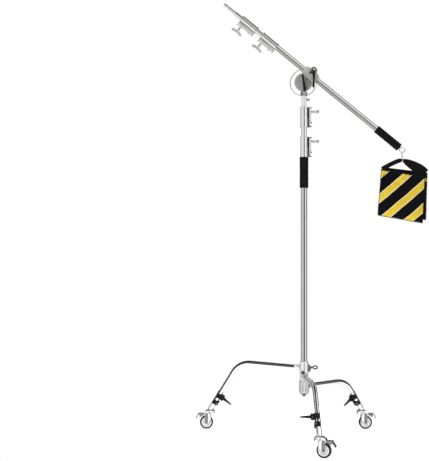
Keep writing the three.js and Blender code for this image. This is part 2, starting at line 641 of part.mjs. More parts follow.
function addBoom(stand) {
  const angle = radians(BOOM_ANGLE);
  const foot = [TILT_X + BOOM_OFFSET * Math.sin(angle), BOOM_Y, TILT_Z + BOOM_OFFSET * Math.cos(angle)];
  const boom = addGroup(stand, foot, [0, BOOM_ANGLE, 0]);
  addPart(boom, 'boom_clamp', boomClamp(), castMetal());
  addPart(boom, 'wire_bail', wireBail(), chrome());
  const leverFrame = addGroup(boom, [CLAMP_BOLT[0], 0, CLAMP_BOLT[1]], [0, -BOOM_ANGLE, 0]);
  addPart(leverFrame, 'boom_clamp_lever', clampBoltLever(), blackPlastic());

  const bury = BOOM_LOCK_LENGTH * LOCK_SPLIT - GAP;
  addPart(boom, 'boom_outer_tube', alongX(pipe(BOOM_OUTER_RADIUS, BOOM_OUTER_RADIUS - TUBE_WALL,
    BOOM_LOCKS.outer - bury, BOOM_GRIP.end - 5)), chrome());
  addPart(boom, 'boom_middle_tube', alongX(pipe(BOOM_MIDDLE_RADIUS, BOOM_MIDDLE_RADIUS - TUBE_WALL,
    BOOM_LOCKS.inner - bury, 350)), chrome());
  addPart(boom, 'boom_inner_tube', boomInnerTube(), chrome());

  // A boom lock's Z runs towards the spigot and its handle side is below the boom
  const lockBasis = new THREE.Matrix4().makeBasis(
    new THREE.Vector3(0, 0, -1), new THREE.Vector3(0, -1, 0), new THREE.Vector3(-1, 0, 0));
  const lockFrame = (x) => {
    const frame = addGroup(boom, [x, 0, 0]);
    frame.quaternion.setFromRotationMatrix(lockBasis);
    return frame;
  };
  addLock(lockFrame(BOOM_LOCKS.outer), 'boom_outer_lock',
    BOOM_LOCK_LENGTH, BOOM_BARREL, BOOM_OUTER_RADIUS, BOOM_MIDDLE_RADIUS, 90);
  addLock(lockFrame(BOOM_LOCKS.inner), 'boom_inner_lock',
    BOOM_LOCK_LENGTH, BOOM_BARREL, BOOM_MIDDLE_RADIUS, BOOM_INNER_RADIUS, 90);

  addPart(boom, 'boom_grip', boomGrip(), foam());
  addPart(boom, 'boom_eye_ring', eyeRing(), chrome());
}

// ---- Hook and sandbag ----

// Where the eye ring's centre is in the stand's frame
function eyeCentre() {
  const angle = radians(BOOM_ANGLE);
  return {
    x: TILT_X + BOOM_OFFSET * Math.sin(angle) + EYE_X * Math.cos(angle),
    z: TILT_Z + BOOM_OFFSET * Math.cos(angle) - EYE_X * Math.sin(angle),
  };
}

// A closed link across the eye ring: its top hangs on the ring, its foot carries the bag's strap
function snapHook(top, bottom) {
  const inner = 7.5;
  const outer = inner + 2 * WIRE_RADIUS;
  const link = (radius) =>
    [...arc([0, top - outer], radius, 0, 180, 9), ...arc([0, bottom + outer], radius, 180, 360, 9)];
  return prismX(link(outer), [-WIRE_RADIUS, WIRE_RADIUS], [link(inner)]);
}

// A pouch: its front outline, thinner towards its rim than at its middle
function pouch(corners, [near, far]) {
  const middle = corners.reduce(([x, z], [cx, cz]) => [x + cx / 4, z + cz / 4], [0, 0]);
  const inset = corners.map(([x, z]) => [x + (middle[0] - x) * 0.12, z + (middle[1] - z) * 0.12]);
  const quarter = (far - near) / 4;
  return join(prismY(corners, [near + quarter, far - quarter]), prismY(inset, [near, far]));
}

function bagStrap() {
  const outline = [[423, 1440], [421, 1457], [524, 1505], [536, 1505], [665, 1434], [660, 1405]];
  const opening = [[459, 1457], [520, 1489.5], [538, 1489.5], [575, 1438]];
  return prismY(outline, [BOOM_Y - 1.6, BOOM_Y + 1.6], [opening]);
}

function addSandbag(stand) {
  const eye = eyeCentre();
  const hookTop = eye.z - EYE_RADIUS + 3 * WIRE_RADIUS + 2 * GAP;
  const hookFrame = addGroup(stand, [eye.x, BOOM_Y, 0]);
  addPart(hookFrame, 'snap_hook', snapHook(hookTop, HOOK_BOTTOM_Z - WIRE_RADIUS), chrome());
  const front = [BOOM_Y - POUCH_GAP / 2 - POUCH_DEPTH, BOOM_Y - POUCH_GAP / 2];
  const rear = [BOOM_Y + POUCH_GAP / 2, BOOM_Y + POUCH_GAP / 2 + POUCH_DEPTH];
  addPart(stand, 'sandbag_front_pouch', pouch(FRONT_POUCH, front), stripedCloth());
  addPart(stand, 'sandbag_rear_pouch', pouch(REAR_POUCH, rear), stripedCloth());
  addPart(stand, 'sandbag_strap', bagStrap(), webbing());
}

// ---- The stand ----

const stand = new THREE.Group();
stand.position.set(...COLUMN_AT, 0);
addColumn(stand);
addHub(stand);
for (const leg of LEGS) addLeg(stand, leg);
addHead(stand);
addBoom(stand);
addSandbag(stand);

export default stand;
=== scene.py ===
"""Looks for a C-stand on casters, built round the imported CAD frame: chrome column, legs and boom, cast
head, black clamps, foam grips and a striped saddle sandbag. Local frames are in millimetres, the scene in
metres."""

import json
import math

import bmesh
import bpy
from mathutils import Matrix, Vector, noise


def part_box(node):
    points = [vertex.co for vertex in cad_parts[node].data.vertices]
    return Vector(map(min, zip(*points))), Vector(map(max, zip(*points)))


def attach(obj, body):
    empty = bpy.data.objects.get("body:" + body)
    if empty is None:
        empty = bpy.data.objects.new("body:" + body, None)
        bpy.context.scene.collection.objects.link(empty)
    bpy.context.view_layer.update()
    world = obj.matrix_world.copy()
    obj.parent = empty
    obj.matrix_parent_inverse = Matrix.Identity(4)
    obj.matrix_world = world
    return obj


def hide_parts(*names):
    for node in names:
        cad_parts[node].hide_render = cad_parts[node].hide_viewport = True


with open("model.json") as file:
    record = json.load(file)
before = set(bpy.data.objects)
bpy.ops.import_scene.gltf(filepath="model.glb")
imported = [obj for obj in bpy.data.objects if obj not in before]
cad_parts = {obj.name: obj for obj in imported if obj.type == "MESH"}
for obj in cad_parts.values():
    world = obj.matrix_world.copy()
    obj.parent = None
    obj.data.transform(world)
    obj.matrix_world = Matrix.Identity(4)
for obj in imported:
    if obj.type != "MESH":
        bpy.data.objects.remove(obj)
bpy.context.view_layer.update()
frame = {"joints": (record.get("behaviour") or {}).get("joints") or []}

MM = 0.001
TAU = 2 * math.pi
UP = Vector((0, 0, 1))
RIGHT = Vector((1, 0, 0))
JOINTS = {joint["name"]: joint for joint in frame["joints"]}

# Sizes in millimetres and angles in degrees that the frame doesn't give directly
COLUMN_RADIUS = 17.5
RISER_1_RADIUS = 15
RISER_2_RADIUS = 12.5
LEG_RADIUS = 12.5
TUBE_WALL = 1.3
WIRE_RADIUS = 2.5
GAP = 0.3

# The locks. The bore narrows at one share of the length, the wing handle sits at another.
COLUMN_LOCK = {"length": 110, "barrel": 20}
BOOM_LOCK = {"length": 105, "barrel": 18}
LOCK_SPLIT = 0.42
LOCK_HANDLE = 0.77

# The boom runs above the tilt axis by the offset, in front of it by the side step, and falls to the right.
BOOM_OFFSET = 52
BOOM_SIDE = -20
BOOM_ANGLE = -39.3
BOOM_RADII = {"outer": 15, "middle": 12.5, "inner": 10.9}
DISC_RADIUS = 49
SPIGOT_RADIUS = 8
SPIGOT_TIP = -597
EYE_X = 643
EYE_RADIUS = 14

# The legs. Each bend's corner is given as its distance out and its height, with the height at the column.
LEG_CORNERS = {"top": (384, 386, 375), "mid": (360, 335, 329), "low": (301, 282, 276)}
LEG_BODIES = {"top": "stand", "mid": "mid_leg", "low": "low_leg"}
LEG_BEND_RADIUS = 120
ELBOW_Z = 114

# The casters. The wheel's axle is behind the swivel by the trail.
CROWN_TOP = 106
WHEEL_RADIUS = 38
TRAIL = 24
PEDAL_PIVOT = (31, 84)

# The sandbag. Corners are (x, z) in its own frame, from the top left round by the bottom.
FRONT_CORNERS = ((412, 1449), (392, 1200), (634, 1157), (646, 1407))
REAR_CORNERS = ((431, 1459), (418, 1212), (660, 1175), (667, 1430))
POUCH_DEPTH = 36
POUCH_GAP = 4

# The studio, in metres
FLOOR_RADIUS = 1.15
FLOOR_GLOW = 0.62
CAMERA_PLACE = (-0.5225, -5.455, 1.118)
CAMERA_LENS = 80.8


# ---- Frames ----

def joint_at(name):
    return Vector(JOINTS[name]["pos_m"])


def joint_axis(name):
    return Vector(JOINTS[name]["axis"]).normalized()


def axes(origin, x, z):
    """The matrix of a local frame in millimetres, with its X and Z along these directions."""
    z = z.normalized()
    y = z.cross(x).normalized()
    x = y.cross(z)
    turn = Matrix((x, y, z)).transposed().to_4x4()
    return Matrix.Translation(origin) @ turn @ Matrix.Scale(MM, 4)


def toward(direction, at=(0, 0, 0)):
    """Turns a local frame's Z to a direction, at a point."""
    direction = Vector(direction).normalized()
    side = Vector((1, 0, 0)) if abs(direction.x) < 0.9 else Vector((0, 1, 0))
    y = direction.cross(side).normalized()
    x = y.cross(direction)
    return Matrix.Translation(at) @ Matrix((x, y, direction)).transposed().to_4x4()


ALONG_X = toward((1, 0, 0))
TO_XZ = Matrix.Rotation(math.pi / 2, 4, "X")  # a prism drawn in XY stands in XZ, its depth towards -Y


# ---- Shells: closed surfaces as (points, faces) ----

def turned(profile, sides=64):
    """A profile of (radius, z) about Z. It starts and ends on the axis, or closes on itself."""
    points, rings, faces = [], [], []
    for radius, z in profile:
        count = sides if radius > 0 else 1
        rings.append(list(range(len(points), len(points) + count)))
        for k in range(count):
            angle = TAU * (k + 0.5) / sides
            points.append((radius * math.cos(angle), radius * math.sin(angle), z))
    pairs = list(zip(rings, rings[1:]))
    if len(rings[0]) > 1 and len(rings[-1]) > 1:
        pairs.append((rings[-1], rings[0]))
    for low, high in pairs:
        for k in range(sides):
            nxt = (k + 1) % sides
            corner = [low[k % len(low)], low[nxt % len(low)], high[nxt % len(high)], high[k % len(high)]]
            corner = list(dict.fromkeys(corner))
            if len(corner) > 2:
                faces.append(corner)
    return points, faces


def rod(radius, low, high, sides=32, edge=0.5):
    return turned([(0, low), (radius - edge, low), (radius, low + edge), (radius, high - edge),
                   (radius - edge, high), (0, high)], sides)


def pipe(outer, inner, low, high, sides=64, edge=0.4):
    return turned([(inner, low), (outer - edge, low), (outer, low + edge), (outer, high - edge),
                   (outer - edge, high), (inner, high)], sides)


def ring(radius, wire, sides=48, round_sides=16):
    """A torus about Z."""
    profile = [(radius + wire * math.cos(TAU * k / round_sides), wire * math.sin(TAU * k / round_sides))
               for k in range(round_sides)]
    return turned(profile, sides)


def hexagon(across, low, high):
    """A nut or bolt head with chamfered corners, its width across flats given."""
    corner = across / math.sqrt(3)
    return turned([(0, low), (corner * 0.9, low), (corner, low + 0.8), (corner, high - 0.8),
                   (corner * 0.9, high), (0, high)], 6)


def prism(outline, low, high):
    count = len(outline)
    points = [(x, y, low) for x, y in outline] + [(x, y, high) for x, y in outline]
    faces = [list(range(count)), list(range(count, 2 * count))]
    faces += [[k, (k + 1) % count, count + (k + 1) % count, count + k] for k in range(count)]
    return points, faces


def plate_with_hole(outer, inner, low, high):
    """A prism with an opening. Both outlines have the same number of points."""
    count = len(outer)
    points = [(x, y, z) for z in (low, high) for loop in (outer, inner) for x, y in loop]
    faces = []
    for k in range(count):
        nxt = (k + 1) % count
        faces.append([k, nxt, count + nxt, count + k])
        faces.append([2 * count + k, 2 * count + nxt, 3 * count + nxt, 3 * count + k])
        faces.append([k, nxt, 2 * count + nxt, 2 * count + k])
        faces.append([count + k, count + nxt, 3 * count + nxt, 3 * count + k])
    return points, faces


def block(x, y, z):
    return prism([(x[0], y[0]), (x[1], y[0]), (x[1], y[1]), (x[0], y[1])], *z)


def circle(radius, sides, start=0.0):
    return [(radius * math.cos(start + TAU * k / sides), radius * math.sin(start + TAU * k / sides))
            for k in range(sides)]


def arc(centre, radius, start, end, count):
    """Points on an arc, angles in degrees."""
    angles = [math.radians(start + (end - start) * k / (count - 1)) for k in range(count)]
    return [(centre[0] + radius * math.cos(a), centre[1] + radius * math.sin(a)) for a in angles]


def sector(outer, inner, start, end, count, inner_count=None):
    """The outline of a part of a ring, angles in degrees."""
    return arc((0, 0), outer, start, end, count) + arc((0, 0), inner, end, start, inner_count or count)


def mirrored(half):
    """An outline from its half on one side of the X axis."""
    return half + [(x, -y) for x, y in reversed(half)]


def rounded(corners, radius, steps=4):
    """An outline with each corner rounded by about this radius."""
    outline = []
    for k, here in enumerate(corners):
        before, after = Vector(corners[k - 1]), Vector(corners[(k + 1) % len(corners)])
        here = Vector(here)
        reach = min(radius, (before - here).length * 0.45, (after - here).length * 0.45)
        start = here + (before - here).normalized() * reach
        end = here + (after - here).normalized() * reach
        for step in range(steps + 1):
            t = step / steps
            point = start.lerp(here, t).lerp(here.lerp(end, t), t)
            outline.append((point.x, point.y))
    return outline


def smooth_path(points, steps=8):
    """A Catmull-Rom curve through points."""
    points = [Vector(p) for p in points]
    padded = [points[0] * 2 - points[1]] + points + [points[-1] * 2 - points[-2]]
    path = []
    for a, b, c, d in zip(padded, padded[1:], padded[2:], padded[3:]):
        for step in range(steps):
            t = step / steps
            path.append(0.5 * (2 * b + (c - a) * t + (2 * a - 5 * b + 4 * c - d) * t * t
                               + (3 * b - a - 3 * c + d) * t ** 3))
    return path + [points[-1]]


def loft(sections, closed=False):
    """Joins rings of equal length, with flat ends unless it closes on itself."""
    count = len(sections[0])
    points = [tuple(p) for section in sections for p in section]
    rows = len(sections)
    faces = []
    for row in range(rows if closed else rows - 1):
        nxt = (row + 1) % rows
        for k in range(count):
            k2 = (k + 1) % count
            faces.append([row * count + k, row * count + k2, nxt * count + k2, nxt * count + k])
    if not closed:
        faces.append(list(range(count)))
        faces.append(list(range((rows - 1) * count, rows * count)))
    return points, faces


def directions(path, closed=False):
    """The direction of travel at each point of a path."""
    last = len(path) - 1
    found = []
    for k in range(len(path)):
        before = path[k - 1] if k or closed else path[0]
        after = path[(k + 1) % len(path)] if k < last or closed else path[last]
        found.append((after - before).normalized())
    return found


def swept(path, radius, sides=32, closed=False):
    """A round bar along a path."""
    path = [Vector(p) for p in path]
    ways = directions(path, closed)
    side = ways[0].orthogonal().normalized()
    sections = []
    for point, way in zip(path, ways):
        side = (side - way * side.dot(way)).normalized()
        other = way.cross(side)
        sections.append([point + (side * u + other * v) * radius for u, v in circle(1, sides)])
    return loft(sections, closed)


def ribbon(path, across, widths, thickness):
    """A flat band along a path. across and widths give its direction and width at each point."""
    ways = directions(path)
    sections = []
    for point, way, side, width in zip(path, ways, across, widths):
        side = (side - way * side.dot(way)).normalized() * width / 2
        depth = way.cross(side).normalized() * thickness / 2
        sections.append([point + side + depth, point - side + depth,
                         point - side - depth, point + side - depth])
    return loft(sections)


def moved(shell, matrix):
    return [tuple(matrix @ Vector(p)) for p in shell[0]], shell[1]


def upright(outline, low, high):
    """A prism whose outline is in XZ, from y low to y high."""
    return moved(prism(outline, -high, -low), TO_XZ)


def across_y(shell, x=0, z=0):
    """A shell about Z laid along +Y, at a point of the XZ plane."""
    return moved(shell, toward((0, 1, 0), (x, 0, z)))


def along_x(shell, x=0, y=0, z=0):
    """A shell about Z laid along +X, from a point."""
    return moved(shell, Matrix.Translation((x, y, z)) @ ALONG_X)


def spun(shell, axis, degrees, at=(0, 0, 0)):
    """A shell turned about an axis of its frame, then moved to a point."""
    return moved(shell, Matrix.Translation(at) @ Matrix.Rotation(math.radians(degrees), 4, axis))


# ---- Pieces ----

def piece(name, shells, where, material, body, stands_for=(), bevel=0.0, sharp=35):
    """One object made of shells in a local frame, riding on a CAD body."""
    mesh = bpy.data.meshes.new(name)
    bm = bmesh.new()
    for points, faces in shells:
        made = [bm.verts.new(where @ Vector(p)) for p in points]
        for face in faces:
            bm.faces.new([made[k] for k in face])
    bmesh.ops.recalc_face_normals(bm, faces=bm.faces)
    bm.to_mesh(mesh)
    bm.free()
    obj = bpy.data.objects.new(name, mesh)
    bpy.context.scene.collection.objects.link(obj)
    mesh.materials.append(material)
    mesh.shade_smooth()
    mesh.set_sharp_from_angle(angle=math.radians(sharp))
    if bevel:
        soften = obj.modifiers.new("bevel", "BEVEL")
        soften.width = bevel * MM
        soften.segments = 3
        soften.limit_method = "ANGLE"
        soften.angle_limit = math.radians(30)
        soften.harden_normals = True
    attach(obj, body)
    if stands_for:
        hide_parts(*stands_for)
    return obj


# ---- Materials ----

class Tree:
    """A node tree, with short calls for the nodes that the materials and the world share."""

    def __init__(self, tree):
        self.tree = tree

    def add(self, kind):
        return self.tree.nodes.new(f"ShaderNode{kind}")

    def link(self, source, target):
        self.tree.links.new(source, target)

    def give(self, socket, value):
        """Sets a socket to a constant, or links it to another socket."""
        if isinstance(value, (int, float, tuple)):
            socket.default_value = value
        else:
            self.link(value, socket)

    def math(self, operation, *values):
        node = self.add("Math")
        node.operation = operation
        for socket, value in zip(node.inputs, values):
            self.give(socket, value)
        return node.outputs["Value"]

    def split(self, vector):
        node = self.add("SeparateXYZ")
        self.link(vector, node.inputs["Vector"])
        return node.outputs

    def dot(self, vector, direction):
        node = self.add("VectorMath")
        node.operation = "DOT_PRODUCT"
        node.inputs[1].default_value = direction
        self.link(vector, node.inputs[0])
        return node.outputs["Value"]

    def ramp(self, source, stops):
        """stops are (position, colour) pairs. A colour is a grey value or three numbers."""
        node = self.add("ValToRGB")
        elements = node.color_ramp.elements
        while len(elements) < len(stops):
            elements.new(0.5)
        for element, (position, color) in zip(elements, stops):
            element.position = position
            element.color = (color, color, color, 1) if isinstance(color, (int, float)) else (*color, 1)
        self.link(source, node.inputs["Fac"])
        return node.outputs["Color"]

    def mix(self, blend, factor, a, b):
        node = self.add("Mix")
        node.data_type = "RGBA"
        node.blend_type = blend
        for name, value in (("Factor", factor), ("A", a), ("B", b)):
            self.give(node.inputs[name], value)
        return node.outputs["Result"]

    def multiply(self, a, b):
        return self.mix("MULTIPLY", 1.0, a, b)


class Surface(Tree):
    """A material's node tree, with textures placed on the object and its principled shader."""

    def __init__(self, name, color, metallic=0.0, roughness=0.5, specular=0.5, sheen=0.0):
        self.material = bpy.data.materials.new(name)
        self.material.use_nodes = True
        super().__init__(self.material.node_tree)
        self.shader = self.tree.nodes["Principled BSDF"]
        self.shader.inputs["Base Color"].default_value = (*color, 1)
        self.shader.inputs["Metallic"].default_value = metallic
        self.shader.inputs["Roughness"].default_value = roughness
        self.shader.inputs["Specular IOR Level"].default_value = specular
        self.shader.inputs["Sheen Weight"].default_value = sheen
        where = self.add("TexCoord").outputs
        self.place, self.normal = where["Object"], where["Normal"]

    def noise(self, scale, detail=4.0, rough=0.55, stretch=None):
        node = self.add("TexNoise")
        node.inputs["Scale"].default_value = scale
        node.inputs["Detail"].default_value = detail
        node.inputs["Roughness"].default_value = rough
        place = self.place
        if stretch:
            mapping = self.add("Mapping")
            mapping.inputs["Scale"].default_value = stretch
            self.link(place, mapping.inputs["Vector"])
            place = mapping.outputs["Vector"]
        self.link(place, node.inputs["Vector"])
        return node.outputs["Fac"]

    def cells(self, scale):
        node = self.add("TexVoronoi")
        node.inputs["Scale"].default_value = scale
        self.link(self.place, node.inputs["Vector"])
        return node.outputs["Distance"]

    def bump(self, height, distance, strength=1.0, under=None):
        node = self.add("Bump")
        node.inputs["Strength"].default_value = strength
        node.inputs["Distance"].default_value = distance
        self.link(height, node.inputs["Height"])
        if under:
            self.link(under, node.inputs["Normal"])
        return node.outputs["Normal"]

    def turn_round(self, side, outer):
        """The way the surface faces, as a share of a turn from one direction towards another."""
        angle = self.math("ARCTAN2", self.dot(self.normal, outer), self.dot(self.normal, side))
        return self.math("FRACT", self.math("ADD", self.math("DIVIDE", angle, TAU), 1))

    def use(self, color, roughness, normal):
        self.link(color, self.shader.inputs["Base Color"])
        self.link(roughness, self.shader.inputs["Roughness"])
        self.link(normal, self.shader.inputs["Normal"])
        return self.material


def plated(name, tint, low, high, grain=0.00002, rim=0.45, crown=1.0, metallic=1.0, lines=None):
    """Plate with faint handling marks, a soft ripple and duller patches. rim is painted shade that darkens
    the colour where the surface turns away from the view, crown is painted shade where it faces up, and
    lines, a side, an outer direction and a ramp, are painted reflections of dark bands along a tube."""
    m = Surface(name, tint, metallic=metallic)
    marks = m.noise(90, 6, 0.65, (1, 1, 0.35))
    tone = m.ramp(m.noise(14, 3), [(0.35, tuple(c * 0.93 for c in tint)), (0.65, tint)])
    facing = m.add("LayerWeight").outputs["Facing"]
    # Painted shade: the colour darkens by rim where the surface turns away from the view.
    painted_edge_shade = m.ramp(facing, [(0.0, 1.0), (0.34, 1.0), (0.58, rim), (1.0, rim)])
    color = m.multiply(tone, painted_edge_shade)
    # Painted shade: the colour darkens by crown where the surface faces up.
    if crown < 1:
        upward = m.split(m.normal)["Z"]
        color = m.multiply(color, m.ramp(upward, [(0.05, 1.0), (0.2, crown), (1.0, crown)]))
    # Painted reflections: dark bands in the colour, set by the way a tube's surface faces round it.
    if lines:
        side, outer, stops = lines
        color = m.multiply(color, m.ramp(m.turn_round(side, outer), stops))
    return m.use(color=color, roughness=m.ramp(marks, [(0.35, low), (0.75, high)]),
                 normal=m.bump(m.noise(260, 3), grain, 0.35))


def cast(name, dark, light, rough):
    """Die-cast metal under a satin silver finish, with a sandy skin and a random mottle of darker and lighter
    patches that stand for painted shade and highlights.
    """
    m = Surface(name, light, metallic=0.3)
    # Painted shade and highlights: a random mottle of darker and lighter tone, not tied to the shape.
    tone = m.ramp(m.noise(45, 5), [(0.3, dark), (0.7, light)])
    skin = m.bump(m.noise(900, 4), 0.00005, 0.5)
    return m.use(color=tone, roughness=m.ramp(m.noise(160, 4), [(0.3, rough), (0.7, rough + 0.14)]),
                 normal=m.bump(m.noise(60, 2), 0.00015, 0.3, skin))


def moulded(name, dark, light, low, high, grain):
    """Moulded plastic or rubber with a fine grain and slight scuffing."""
    m = Surface(name, light, specular=0.15)
    tone = m.ramp(m.noise(60, 5), [(0.35, dark), (0.7, light)])
    pebbles = m.bump(m.cells(1400), grain, 0.5)
    return m.use(color=tone, roughness=m.ramp(m.noise(200, 5), [(0.3, low), (0.75, high)]),
                 normal=m.bump(m.noise(35, 3), grain * 2, 0.3, pebbles))


def foam_rubber():
    """Closed-cell foam: pores, a broad mottle and dusty high spots."""
    m = Surface("foam", (0.02, 0.02, 0.021), roughness=0.9, specular=0.08, sheen=0.01)
    pores = m.cells(800)
    tone = m.ramp(m.noise(70, 6), [(0.3, (0.003, 0.003, 0.0035)), (0.72, (0.012, 0.012, 0.013))])
    pitted = m.bump(pores, 0.0005, 0.8)
    return m.use(color=tone, roughness=m.ramp(pores, [(0.0, 0.98), (0.6, 0.78)]),
                 normal=m.bump(m.noise(120, 4), 0.0006, 0.5, pitted))


def woven_bump(m, pitch):
    """The over and under of a plain weave in the XZ plane, as a bump normal."""
    place = m.split(m.place)
    warp = m.math("SINE", m.math("MULTIPLY", place["X"], TAU / pitch))
    weft = m.math("SINE", m.math("MULTIPLY", place["Z"], TAU / pitch))
    threads = m.math("MULTIPLY", warp, weft)
    return m.bump(threads, 0.00025, 0.6)


def striped_cloth(origin, direction, period, width, half_gap):
    """Black nylon with slanting yellow bands that have pale edges, on the faces beyond half_gap in Y."""
    m = Surface("striped_cloth", (0.01, 0.01, 0.012), roughness=0.75, specular=0.08, sheen=0.01)
    offset = m.add("VectorMath")
    offset.operation = "SUBTRACT"
    offset.inputs[1].default_value = origin
    m.link(m.place, offset.inputs[0])
    wobble = m.math("MULTIPLY", m.math("SUBTRACT", m.noise(14, 2), 0.5), 0.006)
    place = m.math("ADD", m.dot(offset.outputs["Vector"], direction), wobble)
    share = m.math("FRACT", m.math("DIVIDE", place, period))
    band = width / period
    black, yellow, pale = (0.003, 0.003, 0.005), (0.88, 0.63, 0.05), (0.95, 0.84, 0.42)
    edge = 0.045
    stripes = m.ramp(share, [
        (0.0, black), (0.004, pale), (edge, pale), (edge + 0.012, yellow), (band - edge - 0.012, yellow),
        (band - edge, pale), (band - 0.004, pale), (band, black), (1.0, black)])
    apart = m.split(offset.outputs["Vector"])["Y"]
    outer_face = m.math("GREATER_THAN", m.math("ABSOLUTE", apart), half_gap)
    shown = m.mix("MIX", outer_face, (*black, 1), stripes)
    fade = m.ramp(m.noise(30, 5), [(0.3, 0.82), (0.7, 1.0)])
    creased = m.bump(m.noise(22, 4), 0.0016, 0.5, woven_bump(m, 0.0011))
    return m.use(color=m.multiply(shown, fade), roughness=m.ramp(m.noise(120, 4), [(0.3, 0.6), (0.7, 0.85)]),
                 normal=creased)


def webbing():
    m = Surface("webbing", (0.012, 0.012, 0.014), roughness=0.8, specular=0.08, sheen=0.01)
    tone = m.ramp(m.noise(90, 5), [(0.3, (0.003, 0.003, 0.0035)), (0.7, (0.011, 0.011, 0.012))])
    return m.use(color=tone, roughness=m.ramp(m.noise(300, 3), [(0.3, 0.68), (0.7, 0.92)]),
                 normal=m.bump(m.noise(50, 3), 0.0008, 0.4, woven_bump(m, 0.0018)))


# In these plates rim darkens the colour where a surface turns away and crown where it faces up: painted
# shade.
CHROME = plated("chrome", (0.76, 0.76, 0.755), 0.04, 0.1)
BRIGHT_CHROME = plated("bright_chrome", (0.95, 0.95, 0.945), 0.08, 0.17, rim=0.5, metallic=0.85)
WHITE_CHROME = plated("white_chrome", (0.96, 0.96, 0.955), 0.08, 0.17, rim=0.6, metallic=0.5)
STEM_CHROME = plated("stem_chrome", (0.86, 0.86, 0.855), 0.1, 0.2, rim=0.2, metallic=0.8)
# A darker copy of the chrome for the boom's outer tube: painted shade that stands in for darker reflections.
SHADED_BOOM_CHROME = plated("boom_chrome_painted_shade", (0.41, 0.41, 0.39), 0.05, 0.12)
# lock_chrome's low crown paints shade over the upward faces of the boom's locks and inner tubes.
LOCK_CHROME = plated("lock_chrome", (0.80, 0.80, 0.78), 0.08, 0.18, crown=0.24)
HOOK_CHROME = plated("hook_chrome", (0.95, 0.95, 0.95), 0.1, 0.2, rim=0.8)
ZINC = plated("zinc", (0.22, 0.22, 0.217), 0.18, 0.34, 0.00006)
PALE_ZINC = plated("pale_zinc", (0.80, 0.80, 0.795), 0.14, 0.28, 0.00005, rim=0.3)
MID_ZINC = plated("mid_zinc", (0.86, 0.86, 0.855), 0.04, 0.1, 0.00004, rim=0.3, metallic=0.8)
CAST = cast("cast_metal", (0.38, 0.38, 0.375), (0.50, 0.50, 0.49), 0.34)
CAST_SMOOTH = cast("cast_metal_smooth", (0.36, 0.36, 0.355), (0.42, 0.42, 0.41), 0.3)
CAST_PALE = cast("cast_metal_pale", (0.56, 0.56, 0.55), (0.68, 0.68, 0.67), 0.36)
CAST_DARK = cast("cast_metal_dark", (0.10, 0.10, 0.098), (0.20, 0.20, 0.195), 0.4)
BLACK = moulded("black_plastic", (0.004, 0.004, 0.005), (0.012, 0.012, 0.013), 0.4, 0.6, 0.00008)
GREY = moulded("grey_plastic", (0.14, 0.14, 0.14), (0.24, 0.24, 0.235), 0.35, 0.55, 0.00008)
PALE = moulded("wheel_plastic", (0.84, 0.84, 0.83), (0.94, 0.94, 0.93), 0.38, 0.55, 0.00006)
TYRE = moulded("tyre_rubber", (0.018, 0.018, 0.018), (0.05, 0.05, 0.05), 0.6, 0.85, 0.00012)
FOAM = foam_rubber()
WEBBING = webbing()


# ---- Column ----

def heights(node):
    low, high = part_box(node)
    return low.z / MM, high.z / MM


def foam_sleeve(name, node, where, radius, bore, low, high, body, cap=0.0):
    """A foam tube with soft ends and a slightly uneven skin. cap closes its high end down to that radius."""
    steps = 40
    end = 2.5
    profile = [(bore, low), (radius - end, low)]
    profile += [(x, low + z) for x, z in arc((radius - end, end), end, -80, 0, 5)]
    for k in range(1, steps):
        share = k / steps
        waist = 0.35 * math.sin(math.pi * share)
        profile.append((radius - waist, low + end + (high - low - 2 * end) * share))
    profile += [(x, high - z) for x, z in reversed(arc((radius - end, end), end, -80, 0, 5))]
    if cap:
        profile += [(radius - end, high), (cap + 1.2, high + 0.6), (cap, high), (cap, high - 4),
                    (bore, high - 4)]
    else:
        profile += [(radius - end, high), (bore, high)]
    points, faces = turned(profile, 96)
    uneven = []
    for point in points:
        p = Vector(point)
        out = Vector((p.x, p.y, 0))
        if out.length > bore + 1:
            p += out.normalized() * 0.28 * noise.noise(p * 0.11)
        uneven.append(tuple(p))
    return piece(name, [(uneven, faces)], where, FOAM, body, [node], sharp=60)


def build_column(column):
    tubes = (("base_column", COLUMN_RADIUS, "stand", CHROME),
             ("riser_1", RISER_1_RADIUS, "riser_1", BRIGHT_CHROME),
             ("riser_2", RISER_2_RADIUS, "riser_2", WHITE_CHROME))
    for node, radius, body, metal in tubes:
        shell = pipe(radius, radius - TUBE_WALL, *heights(node))
        piece(f"{node}_tube", [shell], column, metal, body, [node])
    low, high = heights("column_grip")
    foam_sleeve("column_grip_foam", "column_grip", column, 23.8, COLUMN_RADIUS + GAP, low, high, "stand")

    low, high = heights("column_foot_cap")
    rim = heights("base_column")[0] - GAP
    cap = turned([
        (0, low), (2.5, low + 0.4), (5, low + 2), (9.5, low + 7), (11, low + 10), (11, rim - 6),
        (20.5, rim - 5), (22, rim - 3.5), (22, rim - 0.5), (21.5, rim), (15.4, rim), (15.4, high), (0, high)])
    piece("column_foot_plug", [cap], column, GREY, "stand", ["column_foot_cap"])


# ---- Locks ----

def wing(inner_end):
    """The wing grip of a lock handle, thicker towards its outer edge, on its threaded screw."""
    half = [(63, 3.5), (64, 12), (66, 22), (68, 29), (71.5, 33), (78, 32), (80, 26), (77, 13), (75, 4)]
    outline = rounded(mirrored(half), 5)
    points, faces = prism(outline, -1, 1)
    grip = [(x, y, z * (3.4 + 3.9 * (x - 50) / 30) * (1 - 0.12 * (y / 33) ** 2)) for x, y, z in points], faces
    neck = [(0, inner_end), (3.4, inner_end), (4, inner_end + 1)]
    threads_from, pitch = inner_end + 2, 1.5
    while threads_from < 45:
        neck += [(4.1, threads_from), (3.5, threads_from + pitch / 2)]
        threads_from += pitch
    neck += [(4, 45), (4.6, 48), (7.5, 53), (8, 58), (0, 60)]
    return [grip, along_x(turned(neck, 32)), along_x(hexagon(12, 40.4, 45.2))]


